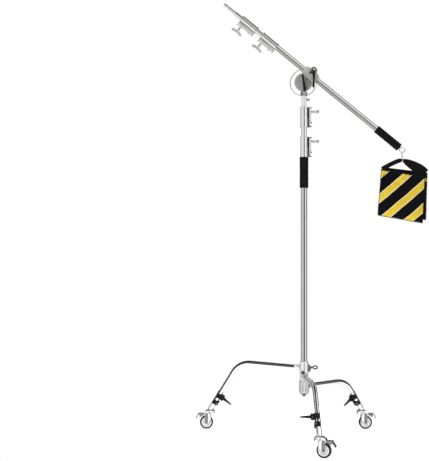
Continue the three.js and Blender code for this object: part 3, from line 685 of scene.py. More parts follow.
def build_lock(name, where, size, wide, narrow, body, chrome, pad_metal, wing_turn):
    """A tube lock: plated barrel, a pad between it and the outer strip, two tabs and a wing handle. The wing
    lies across the tube when wing_turn is 0, along it when it is 90 degrees."""
    length, barrel = size["length"], size["barrel"]
    rim, split = barrel + 2.2, length * LOCK_SPLIT
    wide_bore, narrow_bore = wide + GAP, narrow + GAP
    shell = turned([
        (wide_bore, 0), (rim - 0.6, 0), (rim, 0.6), (rim, 4.2), (rim - 0.5, 4.8), (barrel, 5.6),
        (barrel, split - 1), (barrel - 0.5, split - 0.4), (barrel - 0.5, split + 0.4), (barrel, split + 1),
        (barrel, length - 5.6), (rim - 0.5, length - 4.8), (rim, length - 4.2), (rim, length - 0.6),
        (rim - 0.6, length), (narrow_bore, length), (narrow_bore, split), (wide_bore, split)], 80)
    strip_outline = rounded(mirrored([(27, -8.6), (35, -8.6), (37.2, -6)]), 1.2)
    handle_z = length * LOCK_HANDLE
    boss = along_x(turned([(4.4, 32), (8.6, 32), (8.6, 38), (7.4, 40), (4.4, 40)], 40), z=handle_z)
    piece(f"{name}_barrel", [shell], where, chrome, body, [name])
    screw = along_x(turned([(0, 34), (4, 34), (4, 38.4), (3.4, 39.2), (0, 39.2)], 24),
                    z=length * 0.3)
    piece(f"{name}_strip", [prism(strip_outline, 5.5, length - 5.5), boss, screw], where, CAST_PALE, body,
          bevel=0.6)

    step, end = length * 0.5, length - 5.2
    pad = [(21.4, 5.2), (21.4, step - 3), (20.3, step + 4), (20.3, end), (27.2, end), (27.2, 5.2)]
    tab = rounded(mirrored([(16, -7.5), (38, -7.5), (42.5, -4)]), 3)
    stop_screw = turned([(0, 34), (3.4, 34), (3.4, 42), (2.6, 43), (0, 43)], 24)
    insert = [upright(rounded(pad, 0.8, 2), -8, 8), prism(tab, length - 5.4, length - 1.6),
              prism(tab, 1.6, 5.0), along_x(stop_screw, z=length * 0.24)]
    piece(f"{name}_pad", insert, where, pad_metal, body, bevel=0.5)

    handle = where @ Matrix.Translation((0, 0, handle_z)) @ Matrix.Rotation(math.radians(wing_turn), 4, "X")
    piece(f"{name}_wing", wing(narrow + 1), handle, CAST, f"{name}_handle", [f"{name}_handle"],
          bevel=1.4)


def build_locks():
    boom_up = joint_axis("boom_middle_slide")
    places = (
        ("lower_lock", COLUMN_LOCK, COLUMN_RADIUS, RISER_1_RADIUS, "stand", UP),
        ("upper_lock", COLUMN_LOCK, RISER_1_RADIUS, RISER_2_RADIUS, "riser_1", UP),
        ("boom_outer_lock", BOOM_LOCK, BOOM_RADII["outer"], BOOM_RADII["middle"], "boom_outer", boom_up),
        ("boom_inner_lock", BOOM_LOCK, BOOM_RADII["middle"], BOOM_RADII["inner"], "boom_middle", boom_up),
    )
    for name, size, wide, narrow, body, along in places:
        turn = f"{name}_handle_turn"
        origin = joint_at(turn) - along * size["length"] * LOCK_HANDLE * MM
        on_boom = size is BOOM_LOCK
        looks = (LOCK_CHROME, CAST, 90) if on_boom else (BRIGHT_CHROME, BLACK, 0)
        build_lock(name, axes(origin, joint_axis(turn), along), size, wide, narrow, body, *looks)


# ---- Hub ----

def fluted(radius, depth, lobes, low, high):
    """A collar with upright flutes, bored for the column."""
    count = lobes * 10
    outer = [(radius + depth * (abs(math.sin(lobes * TAU * k / count / 2)) - 0.7), TAU * k / count)
             for k in range(count)]
    outer = [(r * math.cos(a), r * math.sin(a)) for r, a in outer]
    return plate_with_hole(outer, circle(COLUMN_RADIUS + GAP, count), low, high)


def leg_boss(name, radius):
    """The short sleeve that a leg is welded into, with a flared root on the collar."""
    corner_x, corner_z, hub_z = LEG_CORNERS[name]
    way = Vector((corner_x, 0, corner_z - hub_z))
    bore = LEG_RADIUS + GAP
    end = radius + 29
    profile = [(bore, radius - 4), (20, radius - 4), (18.5, radius), (16.2, radius + 5), (15.1, radius + 9),
               (15.1, end - 4), (15.8, end - 3.4), (15.8, end - 0.6), (15.1, end), (bore, end)]
    return moved(turned(profile, 48), toward(way, (0, 0, hub_z)))


def leg_frame(name):
    """Origin on the column's axis at floor level, X out along the leg."""
    centre, swivel = joint_at("head_swivel"), joint_at(f"{name}_caster_swivel")
    out = Vector((swivel.x - centre.x, swivel.y - centre.y, 0))
    return axes(Vector((centre.x, centre.y, 0)), out, UP)


def build_hub():
    bore = COLUMN_RADIUS + GAP
    shapes, radius = {}, 23
    for name in ("top", "mid"):
        low, high = heights(f"{name}_leg_collar")
        groove = low + 5
        sleeve = turned([
            (bore, low), (radius - 0.8, low), (radius, low + 0.8), (radius, groove),
            (radius - 1, groove + 0.8), (radius - 1, groove + 2.2), (radius, groove + 3), (radius, high - 3),
            (radius - 3, high), (bore, high)])
        shapes[name] = [sleeve, leg_boss(name, radius)]
    low, high = heights("low_leg_collar")
    shapes["low"] = [fluted(26.2, 2.4, 12, low + 3.5, high - 5),
                     pipe(24, bore, high - 6, high, edge=1.0), pipe(25, bore, low, low + 4, edge=1.0),
                     leg_boss("low", 27)]
    looks = {"top": (WHITE_CHROME, "chrome"), "mid": (WHITE_CHROME, "chrome"), "low": (MID_ZINC, "zinc")}
    for name, body in LEG_BODIES.items():
        metal, slot = looks[name]
        piece(f"{name}_collar", shapes[name], leg_frame(name), metal, body, [f"{name}_leg_collar"],
              bevel=0.5)

    knob = axes(joint_at("leg_lock_knob_turn"), RIGHT, UP)
    cheek = rounded([(14, -23), (31, -23), (36, -16), (36, 6), (31, 14), (24, 20), (14, 20)], 4)
    piece("knob_block", [upright(cheek, -8.8, 8.8)], knob, CAST_DARK, "stand", bevel=1.2)
    loop = [(60.5 + 11.3 * x, 0, 8 * y) for x, y in circle(1, 40)]
    neck = smooth_path([(34, 0, 0), (38, 0, 0), (42, 0, 1.6), (46, 0, 1.8), (50.5, 0, 0)])
    washer = along_x(turned([(0, 36.4), (7, 36.4), (7.4, 37), (7.4, 39), (6, 40.6), (0, 40.6)], 32))
    shells = [swept(loop, 3.3, 16, closed=True), swept(neck, 3.4, 16), washer]
    piece("knob_loop", shells, knob, BLACK, "leg_lock_knob", ["leg_lock_knob"])

    low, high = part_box("leg_index_ring")
    middle = axes((low + high) / 2, RIGHT, UP)
    half_y = (high.y - low.y) / MM / 2
    oval = [(9 * x, -half_y + 2.2, 5.6 * y - 0.4) for x, y in circle(1, 36)]
    pin = across_y(turned([(0, -half_y), (4.2, -half_y), (4.6, -half_y + 0.6), (4.6, -half_y + 3.6),
                           (3, -half_y + 4), (3, half_y - 0.4), (2.6, half_y), (0, half_y)], 24), 0, 3.2)
    piece("index_pull", [swept(oval, 2.3, 14, closed=True), pin], middle, BLACK, "leg_index_ring",
          ["leg_index_ring"])


# ---- Legs ----

def leg_path(name, elbow_x, slant):
    """The leg's centre line in its own XZ plane: straight, a round bend, straight down to the caster."""
    corner_x, corner_z, hub_z = LEG_CORNERS[name]
    start_x = 21.3
    corner = Vector((corner_x, 0, corner_z))
    start = Vector((start_x, 0, hub_z + start_x * (corner_z - hub_z) / corner_x))
    above_elbow = 51
    end = Vector((elbow_x - above_elbow * math.sin(slant), 0, ELBOW_Z + above_elbow * math.cos(slant)))
    inward, downward = (start - corner).normalized(), (end - corner).normalized()
    half = inward.angle(downward) / 2
    first = corner + inward * LEG_BEND_RADIUS / math.tan(half)
    centre = corner + (inward + downward).normalized() * LEG_BEND_RADIUS / math.sin(half)
    turn = math.pi - 2 * half
    steps = 24
    bend = [centre + Matrix.Rotation(turn * k / steps, 3, "Y") @ (first - centre) for k in range(steps + 1)]
    return [start, start.lerp(first, 0.02), *bend, end.lerp(bend[-1], 0.02), end]


def socket_and_elbow(slant):
    """The chrome socket on the leg's end and its elbow down to the caster. The origin is the elbow."""
    up = Vector((-math.sin(slant), 0, math.cos(slant)))
    outer = 14.3
    sleeve = turned([(12.8, 48), (outer, 48), (outer, 111), (outer + 0.9, 112), (outer + 0.9, 117),
                     (outer, 118), (12.8, 118)])
    crown = CROWN_TOP - ELBOW_Z + 0.5
    elbow = [up * 52, up * 34, up * 20, up * 12 + Vector((-0.4, 0, 0)), up * 5 + Vector((0.2, 0, -0.5)),
             Vector((0.4, 0, -3)), Vector((0, 0, crown))]
    collar = turned([(0, crown - 0.2), (outer + 0.8, crown - 0.2), (outer + 1.2, crown + 0.6),
                     (outer + 1.2, crown + 2.4), (outer + 0.4, crown + 3.2), (0, crown + 3.2)])
    pin = rod(5, crown - 16, crown + 1)
    return [moved(sleeve, toward(up)), swept(smooth_path(elbow, 6), outer, 64), collar, pin]


def clamp_lug(low, high):
    """A lug of the leg clamp, hollowed to fit the socket."""
    inner = arc((0, 0), 14.6, 72, -72, 16)
    return prism(inner + mirrored([(4.5, -16), (17, -16), (21, -12)]), low, high)


def leg_chrome(name, out):
    """Bright plate with painted reflections of dark lines along the bent tube: fine ones all round the leg
    that points to the front, a broad one over the top of the others."""
    side, outer = UP.cross(out), out + UP
    if out.y < -0.5:
        # Painted reflections on the leg that points to the front: six fine dark lines round the tube.
        dark, first, apart, half, soft, lines = 0.02, 0.139, 0.125, 0.032, 0.012, 6
        stops = [(0.0, 1.0)]
        for k in range(lines):
            middle = first + k * apart
            stops += [(middle - half - soft, 1.0), (middle - half, dark), (middle + half, dark),
                      (middle + half + soft, 1.0)]
        return plated(f"{name}_leg_chrome", (0.96, 0.96, 0.955), 0.08, 0.17, rim=1.0, metallic=0.45,
                      lines=(side, outer, stops))
    # Painted reflections on the other legs: a broad dark band over the top and two fainter lines under it.
    over = [(0.0, 0.06), (0.02, 0.06), (0.04, 0.18), (0.1, 0.18), (0.12, 0.06), (0.38, 0.06), (0.4, 0.18),
            (0.46, 0.18), (0.48, 0.06), (0.52, 0.06), (0.54, 1.0)]
    under = [(0.67, 1.0), (0.69, 0.55), (0.71, 0.55), (0.73, 1.0), (0.77, 1.0), (0.79, 0.55), (0.81, 0.55),
             (0.83, 1.0), (0.96, 1.0), (0.98, 0.06)]
    stops = over + under
    return plated(f"{name}_leg_chrome", (0.92, 0.92, 0.915), 0.06, 0.14, rim=0.8, metallic=0.9,
                  lines=(side, outer, stops))


def build_leg(name, body):
    where = leg_frame(name)
    out = where.to_3x3() @ Vector((1, 0, 0)) / MM
    swivel = joint_at(f"{name}_caster_swivel")
    elbow_x = (swivel - where.translation).dot(out) / MM
    lever_axis = joint_axis(f"{name}_clamp_lever_swing")
    slant = math.acos(max(-1.0, min(1.0, lever_axis.z)))
    path = leg_path(name, elbow_x, slant)
    metal = leg_chrome(name, out)
    piece(f"{name}_leg_tube", [swept(path, LEG_RADIUS, 56)], where, metal, body, [f"{name}_leg"])

    elbow = Vector((swivel.x, swivel.y, ELBOW_Z * MM))
    socket, *stem = socket_and_elbow(slant)
    piece(f"{name}_stem_socket", [socket], axes(elbow, out, UP), metal, body)
    piece(f"{name}_stem", stem, axes(elbow, out, UP), STEM_CHROME, body, [f"{name}_caster_stem"])

    pivot = joint_at(f"{name}_clamp_lever_swing")
    lever_out, lever_up = 30, 94
    clamp = axes(elbow, pivot - elbow - lever_axis * lever_up * MM, lever_axis)
    open_shell = sector(16.8, 14.6, -122, 122, 32)
    rib = sector(16.4, 14.6, -12, 12, 5)
    ear = rounded(mirrored([(20, -8), (32, -8), (35, -4)]), 2.5)
    ears = [prism(ear, 78.5, 83.7), prism(ear, 104.3, 109)]
    web = block((18, 24.2), (-8, 8), (82, 106))
    lever_bolt = moved(hexagon(8, 109, 112), Matrix.Translation((lever_out, 0, 0)))
    shells = [prism(open_shell, 37, 63), prism(open_shell, 79, 108), prism(rib, 60, 80), clamp_lug(38, 48),
              clamp_lug(53, 62), clamp_lug(81, 107), *ears, web]
    piece(f"{name}_clamp_body", shells, clamp, BLACK, body, [f"{name}_leg_clamp"], bevel=0.9)
    bolt = across_y(turned(mirrored([(0, -18.6), (2.4, -18.4), (4.4, -16.8)]), 24), 15.5, 51)
    piece(f"{name}_clamp_bolts", [bolt, lever_bolt], clamp, ZINC, body)

    tail = mirrored([(-4, -4.4), (6, -5), (20, -4.5), (55, -2.9), (59.5, -1.5)])
    points, faces = prism(rounded(tail, 2.5), -1, 1)
    slim = [(x, y, z * (6.9 if x < 12 else max(3.1, 6.9 - (x - 12) * 0.19))) for x, y, z in points], faces
    lever = axes(pivot, clamp.to_3x3() @ Vector((1, 0, 0)), lever_axis)
    piece(f"{name}_lever", [slim, rod(4.4, -9.6, 9.6), rod(2.5, -15.5, 15.5)], lever, BLACK,
          f"{name}_clamp_lever", [f"{name}_clamp_lever"], bevel=0.9)


# ---- Casters ----

def fork_side():
    axle_end = arc((TRAIL, WHEEL_RADIUS), 9.5, 0, -180, 14)
    shoulder = CROWN_TOP - 4
    upper = rounded([(-3, 54), (0, 84), (-19, shoulder - 1), (-19, shoulder), (27, shoulder), (37, 94),
                     (37, 79), (31, 68)], 3, 3)
    return upper[2:-2] + axle_end


def build_fork(name, caster):
    side = fork_side()
    lip = rounded([(-15, CROWN_TOP), (-20, CROWN_TOP - 1), (-24.5, CROWN_TOP - 7), (-26, 83), (-21, 82),
                   (-19.5, CROWN_TOP - 11), (-16, CROWN_TOP - 5.5), (-12, CROWN_TOP - 4)], 3)
    crown = rounded(mirrored([(-18, -18.4), (22, -18.4), (25, -15)]), 4)
    painted_edge_strip = [(-19, 101), (0, 83), (-3, 54), (0.5, 54), (4, 84), (-14, 101)]
    race = turned([(5.3, 93), (11, 93), (14.5, 95), (14.5, 98), (12.6, 99), (14.8, 100.4), (14.8, 103),
                   (5.3, 103)])
    window = [across_y(turned([(0, y0), (4.6, y0), (5, y0 + 0.5), (4.2, y0 + 1), (0, y0 + 1)], 24), 8, 92)
              for y0 in (-19, 18)]
    plates = [upright(side, 15, 18), upright(side, -18, -15)]
    piece(f"{name}_fork_plates", plates, caster, PALE_ZINC, f"{name}_caster", [f"{name}_caster_fork"],
          bevel=0.7)
    # The raised rib and the strips along the plates' edges take the fork's darker zinc over the pale plates:
    # painted shade, giving the plates their two-tone and dark edges.
    rib = rounded([(17, 92), (34, 88), (32.5, 68), (32.5, 42), (28, 31), (20, 31), (15.5, 42), (15, 68)], 4)
    shells = [upright(rib, 17.6, 18.8), upright(rib, -18.8, -17.6), upright(painted_edge_strip, 17.6, 18.8),
              upright(painted_edge_strip, -18.8, -17.6), prism(crown, CROWN_TOP - 4, CROWN_TOP),
              upright(lip, -13, 13), race, *window]
    piece(f"{name}_fork", shells, caster, ZINC, f"{name}_caster", bevel=0.5)

    washers = [across_y(turned([(0, y0), (8.2, y0), (8.6, y0 + 0.5), (8.2, y0 + 1), (0, y0 + 1)], 32),
                        TRAIL, WHEEL_RADIUS) for y0 in (-19.1, 18.1)]
    bolt = [across_y(shell, TRAIL, WHEEL_RADIUS)
            for shell in (hexagon(11, -23.4, -19.1), hexagon(11, 19.1, 23.2), rod(4, -20, 25.4))]
    piece(f"{name}_axle_bolt", washers + bolt, caster, ZINC, f"{name}_caster", [f"{name}_axle"],
          bevel=0.3)


def build_wheel(name, caster):
    """A pale hub with a web, ribs and a rim, and a round-shouldered tyre."""
    half = [(4.4, -13.4), (8.4, -13.4), (9.2, -12.6), (10.4, -4.5), (22, -3.4), (23.4, -9.4), (24, -10),
            (28.2, -10)]
    hub = turned(mirrored(half))
    ribs = []
    for k in range(6):
        rib = mirrored([(9, -1.3), (23.6, -1.0)])
        ribs += [spun(prism(rib, low, low + 5), "Z", 60 * k) for low in (3, -8)]
    seat = turned(mirrored([(13.5, -6.6), (15, -6.6)]))
    stand_up = toward((0, 1, 0), (TRAIL, 0, WHEEL_RADIUS))
    shells = [moved(shell, stand_up) for shell in (hub, seat, *ribs)]
    piece(f"{name}_hub", shells, caster, PALE, f"{name}_wheel", [f"{name}_wheel"], bevel=0.4)

    profile = [(28.6, -10), (30, -10.6)] + arc((30.5, -4.5), 7.4, -75, -10, 8)
    tread = turned([(min(r, WHEEL_RADIUS), z) for r, z in mirrored(profile)], 96)
    piece(f"{name}_tyre_tread", [moved(tread, stand_up)], caster, TYRE, f"{name}_wheel",
          [f"{name}_tyre"], sharp=50)


def build_pedal(name, caster):
    over_tyre = arc((TRAIL, WHEEL_RADIUS), WHEEL_RADIUS + 5, 42, 82, 8)
    cheek = [(65.5, 88.8), (64, 68), *over_tyre, (27, 84), (28, 88.8)]
    blade = rounded([(61, 89), (66, 90), (86, 57.5), (83, 56)], 1.4)
    top = rounded(mirrored([(27, -14), (62, -14), (66, -10)]), 3)
    ridges = []
    for k in range(5):
        x, z = 68.5 + 3.6 * k, 87.2 - 5.9 * k
        ridge = [(x, z), (x + 1.9, z + 1.1), (x + 2.7, z - 0.2), (x + 0.8, z - 1.3)]
        ridges.append(upright(ridge, -12.5, 12.5))
    pin = across_y(rod(2.3, -17.6, 17.6, 20), *PEDAL_PIVOT)
    shoe = across_y(rod(3.6, -10.5, 10.5, 24), 38, 85)
    shells = [upright(cheek, 11.2, 13.4), upright(cheek, -13.4, -11.2), prism(top, 86.6, 89),
              upright(blade, -15, 15), pin, shoe, *ridges]
    pedal = f"{name}_brake_pedal"
    piece(f"{name}_pedal", shells, caster, ZINC, pedal, [pedal], bevel=0.6)


def build_caster(name):
    swivel, wheel = joint_at(f"{name}_caster_swivel"), joint_at(f"{name}_wheel_spin")
    trail = Vector((wheel.x - swivel.x, wheel.y - swivel.y, 0))
    caster = axes(Vector((swivel.x, swivel.y, 0)), trail, UP)
    build_fork(name, caster)
    build_wheel(name, caster)
    build_pedal(name, caster)


# ---- Head ----

def build_socket(column, tilt):
    """The socket on the riser's top, with the fixed disc that the clamp turns against."""
    low, sleeve_top = heights("head_socket")[0], 1868
    bore = RISER_2_RADIUS + GAP
    split = 1845
    sleeve = turned([
        (bore, split), (14.4, split), (15.8, split + 2), (17.2, split + 5), (17.4, sleeve_top - 5),
        (16.6, sleeve_top), (0, sleeve_top), (0, sleeve_top - 6), (bore, sleeve_top - 6)])
    skirt = turned([(bore, low), (13.4, low), (13.8, low + 0.4), (13.8, split), (bore, split)])
    piece("head_socket_skirt", [skirt], column, WHITE_CHROME, "head")
    neck = rounded([(-17, -72), (-10, -24), (14, -24), (17, -72)], 3)
    disc = across_y(turned([
        (6.3, 0.8), (41, 0.8), (42, 1.8), (42, 13.6), (40.6, 15), (35, 15), (33, 12.4), (15, 12.4), (13, 15),
        (6.3, 15)], 96))
    rib = upright(mirrored([(14, -1.6), (34, -1.6)]), 12, 14.6)
    ribs = [spun(rib, "Y", 45 * (k + 0.5)) for k in range(8)]
    to_column = Matrix.Translation((tilt.translation - column.translation) / MM)
    upper = [moved(shell, to_column) for shell in (upright(neck, 3, 15), disc, *ribs)]
    boss = along_x(turned([(3.3, 13.2), (7.6, 13.2), (6.2, 16), (6.2, 19.4), (5.6, 20), (3.3, 20)], 32),
                   z=joint_at("head_set_screw_turn").z / MM)
    piece("head_socket_casting", [sleeve, boss, *upper], column, CAST, "head", ["head_socket"],
          bevel=0.8)
    band_low, band_high, band_radius = split + 2, sleeve_top - 1, 18
    band = turned([(16, band_low), (band_radius - 0.6, band_low + 1.5), (band_radius, band_low + 4),
                   (band_radius, band_high - 2), (band_radius - 0.8, band_high), (16, band_high)])
    piece("head_socket_band", [band], column, CAST_DARK, "head")
    rivets = []
    for x, z in ((-6.5, 1861), (6.5, 1861), (0, 1852)):
        y = -math.sqrt(band_radius ** 2 - x * x)
        rivet = turned([(0, -0.5), (3.6, -0.5), (3.6, 0.6), (2.8, 1.5), (0, 1.9)], 20)
        rivets.append(moved(rivet, toward((x, y, 0), (x, y, z))))
    piece("head_socket_rivets", rivets, column, WHITE_CHROME, "head")


def knurled(radius, low, high, teeth=28):
    radii = (radius, radius - 0.5)
    unit = circle(1, teeth * 2)
    return prism([(x * radii[k % 2], y * radii[k % 2]) for k, (x, y) in enumerate(unit)], low, high)


def build_head_levers(tilt):
    screw = axes(joint_at("head_set_screw_turn"), RIGHT, UP)
    shells = [along_x(rod(3, RISER_2_RADIUS + 0.8, 24, 24)), along_x(knurled(5.6, 22, 30))]
    piece("head_thumb_screw", shells, screw, ZINC, "head_set_screw", ["head_set_screw"], bevel=0.3)

    outline = rounded([(-12.5, -51), (-9.6, -22), (-8.4, 34), (-7.4, 38), (0, 38), (1, 34), (3, -22),
                       (5, -51)], 3)
    hub = across_y(turned([(0, -49), (4.6, -49), (5.4, -48), (5.4, -30), (7.4, -27), (7.4, -18), (9.3, -16.8),
                           (0, -16.8)], 48))
    bar = spun(upright(outline, -52, -43.4), "Y", -8.5)
    piece("tilt_bar", [bar], tilt, BLACK, "tilt_lever", ["tilt_lever"], bevel=1.6)
    bolt = [hub, across_y(rod(6, -18, 22.4, 32)), across_y(hexagon(16, 15.6, 21.6)),
            across_y(turned([(0, 15.2), (10.5, 15.2), (10.9, 15.6), (10.5, 16), (0, 16)], 40))]
    piece("tilt_bolt", bolt, tilt, CAST_SMOOTH, "tilt_lever", bevel=0.3)


def split_section(y, low, high):
    """A block's cross-section round the boom, split on top. Points are (y, z)."""
    bore, slot = BOOM_RADII["outer"] + GAP, 1.5
    edge = 2.5
    lip = math.degrees(math.asin(slot / bore))
    corners = []
    for cy, cz, start in ((y, high, 90), (y, low, 0), (-y, low, -90), (-y, high, -180)):
        centre = (cy - math.copysign(edge, cy), cz - math.copysign(edge, cz))
        corners += arc(centre, edge, start, start - 90, 5)
    hole = arc((0, 0), bore, 90 + lip, 450 - lip, 41)
    return [(slot, high), *corners, (-slot, high), *hole]


def interpolate(table, x):
    """A value at x from (x, value) pairs joined by straight lines."""
    for (x0, v0), (x1, v1) in zip(table, table[1:]):
        if x <= x1:
            return v0 + (v1 - v0) * (x - x0) / (x1 - x0)
    return table[-1][1]


def build_clamp(boom, tilt):
    """The tilting casting: a split block round the boom above a ribbed disc."""
    top = [(-42, 17.6), (-32, 24), (-19, 27), (-14.5, 41), (-7, 46.5), (10, 46.5), (18.5, 41), (23, 27),
           (38, 24.5), (49, 17.6)]
    bottom = [(-42, -17.6), (-31, -26.5), (38, -26.5), (49, -17.6)]
    stations = sorted({x for x, _ in top + bottom} | {-41, 0, 30, 48})
    sections = []
    for x in stations:
        narrow = 1.2 if x in (-42, 49) else 0
        loop = split_section(20 - narrow, interpolate(bottom, x) + narrow, interpolate(top, x) - narrow)
        sections.append([Vector((x, y, z)) for y, z in loop])
    piece("clamp_block", [loft(sections)], boom, CAST, "boom_clamp", ["boom_clamp"], bevel=0.5)
    collars = []
    for x, half in ((-37, 3), (44, 4.6)):
        profile = mirrored([(15.4, -half), (19.2, -half), (19.8, -half + 0.8)])
        collars.append(along_x(turned(profile), x))
    for x, z, size in ((26, 9, 5.2), (-24, 6, 4.2), (14, -12, 3.6)):
        boss = turned([(0, 18.5), (size, 18.5), (size, 21.6), (size - 0.9, 22.6), (size * 0.5, 22.6),
                       (size * 0.4, 21.4), (0, 21.4)], 32)
        collars.append(moved(boss, toward((0, -1, 0), (x, 0, z))))
    for x, lean in ((-12, 16), (4, -10)):
        rib = upright(rounded([(-1.8, -15), (1.8, -15), (1.8, 15), (-1.8, 15)], 1.4), -22.2, -19.2)
        collars.append(spun(rib, "Y", lean, (x, 0, 4)))
    piece("clamp_collars", collars, boom, CAST_PALE, "boom_clamp", bevel=0.4)

    # The disc's faces, from the tilt axis. It stops below the boom's bore.
    ring_low, ring_high = -16, -0.6
    first, last, count = -214 + BOOM_ANGLE, 26 + BOOM_ANGLE, 61
    outline = arc((0, 0), DISC_RADIUS, first, last, count)
    inner = arc((0, 0), DISC_RADIUS * 0.965, first, last, count)
    raised = sector(47.2, 12.6, -84, 34, 30, 20)
    disc = [upright(outline, ring_low + 1.2, ring_high), upright(inner, ring_low - 0.4, ring_high),
            upright(raised, ring_low - 3, ring_low)]
    piece("clamp_disc", disc, tilt, CAST_SMOOTH, "boom_clamp", bevel=0.9)

    front, back = ring_low - 8.2, ring_low - 2
    shells = [upright(sector(47.4, 43, -84, 34, 30), front + 1.6, back),
              upright(sector(17, 12.4, -84, 34, 20), front, back)]
    for degrees in (-80, -52, -18, 10, 30):
        shells.append(spun(upright(mirrored([(15, -1.7), (44.5, -1.2)]), front, back), "Y", -degrees))
    for degrees, reach, size in ((-35, 33, 6.4), (-66, 34, 5), (4, 30, 4.6)):
        a = math.radians(degrees)
        boss = turned([(0, -back), (size, -back), (size, -front - 1), (size - 0.8, -front),
                       (size * 0.45, -front), (size * 0.4, -front - 3), (0, -front - 3)], 32)
        place = toward((0, -1, 0), (reach * math.cos(a), 0, reach * math.sin(a)))
        shells.append(moved(boss, place))
    piece("clamp_ribs", shells, tilt, CAST, "boom_clamp", bevel=0.7)


def build_clamp_hardware(boom):
    """The wire bail, the clamp bolt's dark screws and spring, and the lever that hangs from the bolt."""
    behind, spread, radius = 47, 106, 70
    left = [(-34, 14, -12), (-47, 14, -12), (-56, 16, -13.5), (-64, 26, -21), (-68, 40, -29)]
    right = [(68, 40, -29), (64, 27, -21), (60, 16, -13.5), (53, 14, -12), (41, 14, -12)]
    round_disc = arc((0, -BOOM_OFFSET), radius, -90 - spread, -90 + spread, 25)
    path = smooth_path(left + [(x, behind, z) for x, z in round_disc] + right, 4)
    piece("bail_wire", [swept(path, WIRE_RADIUS, 18)], boom, CHROME, "boom_clamp", ["wire_bail"])

    pivot = joint_at("boom_clamp_lever_turn")
    upright_frame = axes(pivot, RIGHT, UP)
    screws = []
    for x, z, size in ((-17, -5, 3.6), (-13.5, -14, 4.4), (-6, -20, 3.8), (-22, -15, 3.0)):
        head = turned([(0, 19), (size, 19), (size, 22.4), (size - 0.7, 23.2), (size * 0.5, 23.2),
                       (size * 0.45, 21.2), (0, 21.2)], 24)
        screws.append(moved(head, toward((0, -1, 0), (x, 0, z))))
    coil, turns, steps = [], 3.5, 56
    for k in range(steps + 1):
        share = k / steps
        a = TAU * turns * share
        coil.append((-14 + 14 * share, -23.6 + 1.8 * math.cos(a), -10 - 12 * share + 3.4 * math.sin(a)))
    screws.append(swept(coil, 0.8, 10))
    piece("clamp_screws", screws, upright_frame, BLACK, "boom_clamp", bevel=0.2)

    outline = rounded([(6, 6), (7.6, -8), (3, -60), (3.7, -88), (1.4, -98), (-6, -98), (-9, -88), (-6, -60),
                       (-7.6, -8), (-6, 6)], 3)
    handle = upright(outline, -46.5, -36)
    hub = across_y(turned([(7.2, -46.4), (10.2, -46.4), (11.2, -45.2), (11.2, -22), (10.4, -20.7), (0, -20.7),
                           (0, -44.2), (7.2, -44.2)], 48))
    piece("clamp_lever_handle", [handle, hub], upright_frame, BLACK, "boom_clamp_lever",
          ["boom_clamp_lever"], bevel=1.3)
    cap = turned([(0, -46.8), (5.6, -46.8), (6.8, -46.2), (6.8, -43.6), (0, -43.6)], 40)
    bolt = [across_y(shell) for shell in (cap, rod(4, -22, 26.8, 24), hexagon(13, 20.3, 26))]
    piece("clamp_lever_bolt", bolt, upright_frame, CAST, "boom_clamp_lever", bevel=0.3)


# ---- Boom ----

def build_boom(boom):
    bury = BOOM_LOCK["length"] * LOCK_SPLIT - GAP
    lock_ends = {}
    for name in ("outer", "inner"):
        turn = joint_at(f"boom_{name}_lock_handle_turn")
        handle_x = (turn - boom.translation).dot(joint_axis("boom_slide")) / MM
        lock_ends[name] = handle_x + BOOM_LOCK["length"] * LOCK_HANDLE
    along = boom @ ALONG_X
    outer, middle, inner = BOOM_RADII["outer"], BOOM_RADII["middle"], BOOM_RADII["inner"]
    grip_low, grip_high = 463, 623
    middle_end, inner_end = 350, 210
    tube = pipe(outer, outer - TUBE_WALL, lock_ends["outer"] - bury, grip_high - 5)
    piece("boom_outer_chrome", [tube], along, SHADED_BOOM_CHROME, "boom_outer", ["boom_outer_tube"])
    tube = pipe(middle, middle - TUBE_WALL, lock_ends["inner"] - bury, middle_end)
    piece("boom_middle_chrome", [tube], along, LOCK_CHROME, "boom_middle", ["boom_middle_tube"])
    shoulder, groove = SPIGOT_TIP + 79, SPIGOT_RADIUS - 1.5
    spigot = turned([
        (0, SPIGOT_TIP), (SPIGOT_RADIUS - 1, SPIGOT_TIP), (SPIGOT_RADIUS, SPIGOT_TIP + 1),
        (SPIGOT_RADIUS, SPIGOT_TIP + 24), (groove, SPIGOT_TIP + 26), (groove, SPIGOT_TIP + 34),
        (SPIGOT_RADIUS, SPIGOT_TIP + 36), (SPIGOT_RADIUS, shoulder - 2), (inner - 0.6, shoulder - 1.6),
        (inner, shoulder), (inner, inner_end), (inner - TUBE_WALL, inner_end),
        (inner - TUBE_WALL, shoulder + 12), (0, shoulder + 12)])
    piece("boom_inner_chrome", [spigot], along, LOCK_CHROME, "boom_inner", ["boom_inner_tube"])
    foam_sleeve("boom_grip_foam", "boom_grip", along, 21.3, outer + GAP, grip_low, grip_high, "boom_outer",
                cap=4.5)
    plug = [rod(outer - TUBE_WALL - GAP, 596, grip_high - 5, 48), rod(4, 600, EYE_X - EYE_RADIUS + 1, 24),
            hexagon(10, grip_high + 0.6, grip_high + 4.4)]
    eye = [*map(along_x, plug), across_y(ring(EYE_RADIUS, WIRE_RADIUS, 64, 18), EYE_X)]
    piece("boom_eye", eye, boom, CHROME, "boom_outer", ["boom_eye_ring"])


# ---- Hook and sandbag ----

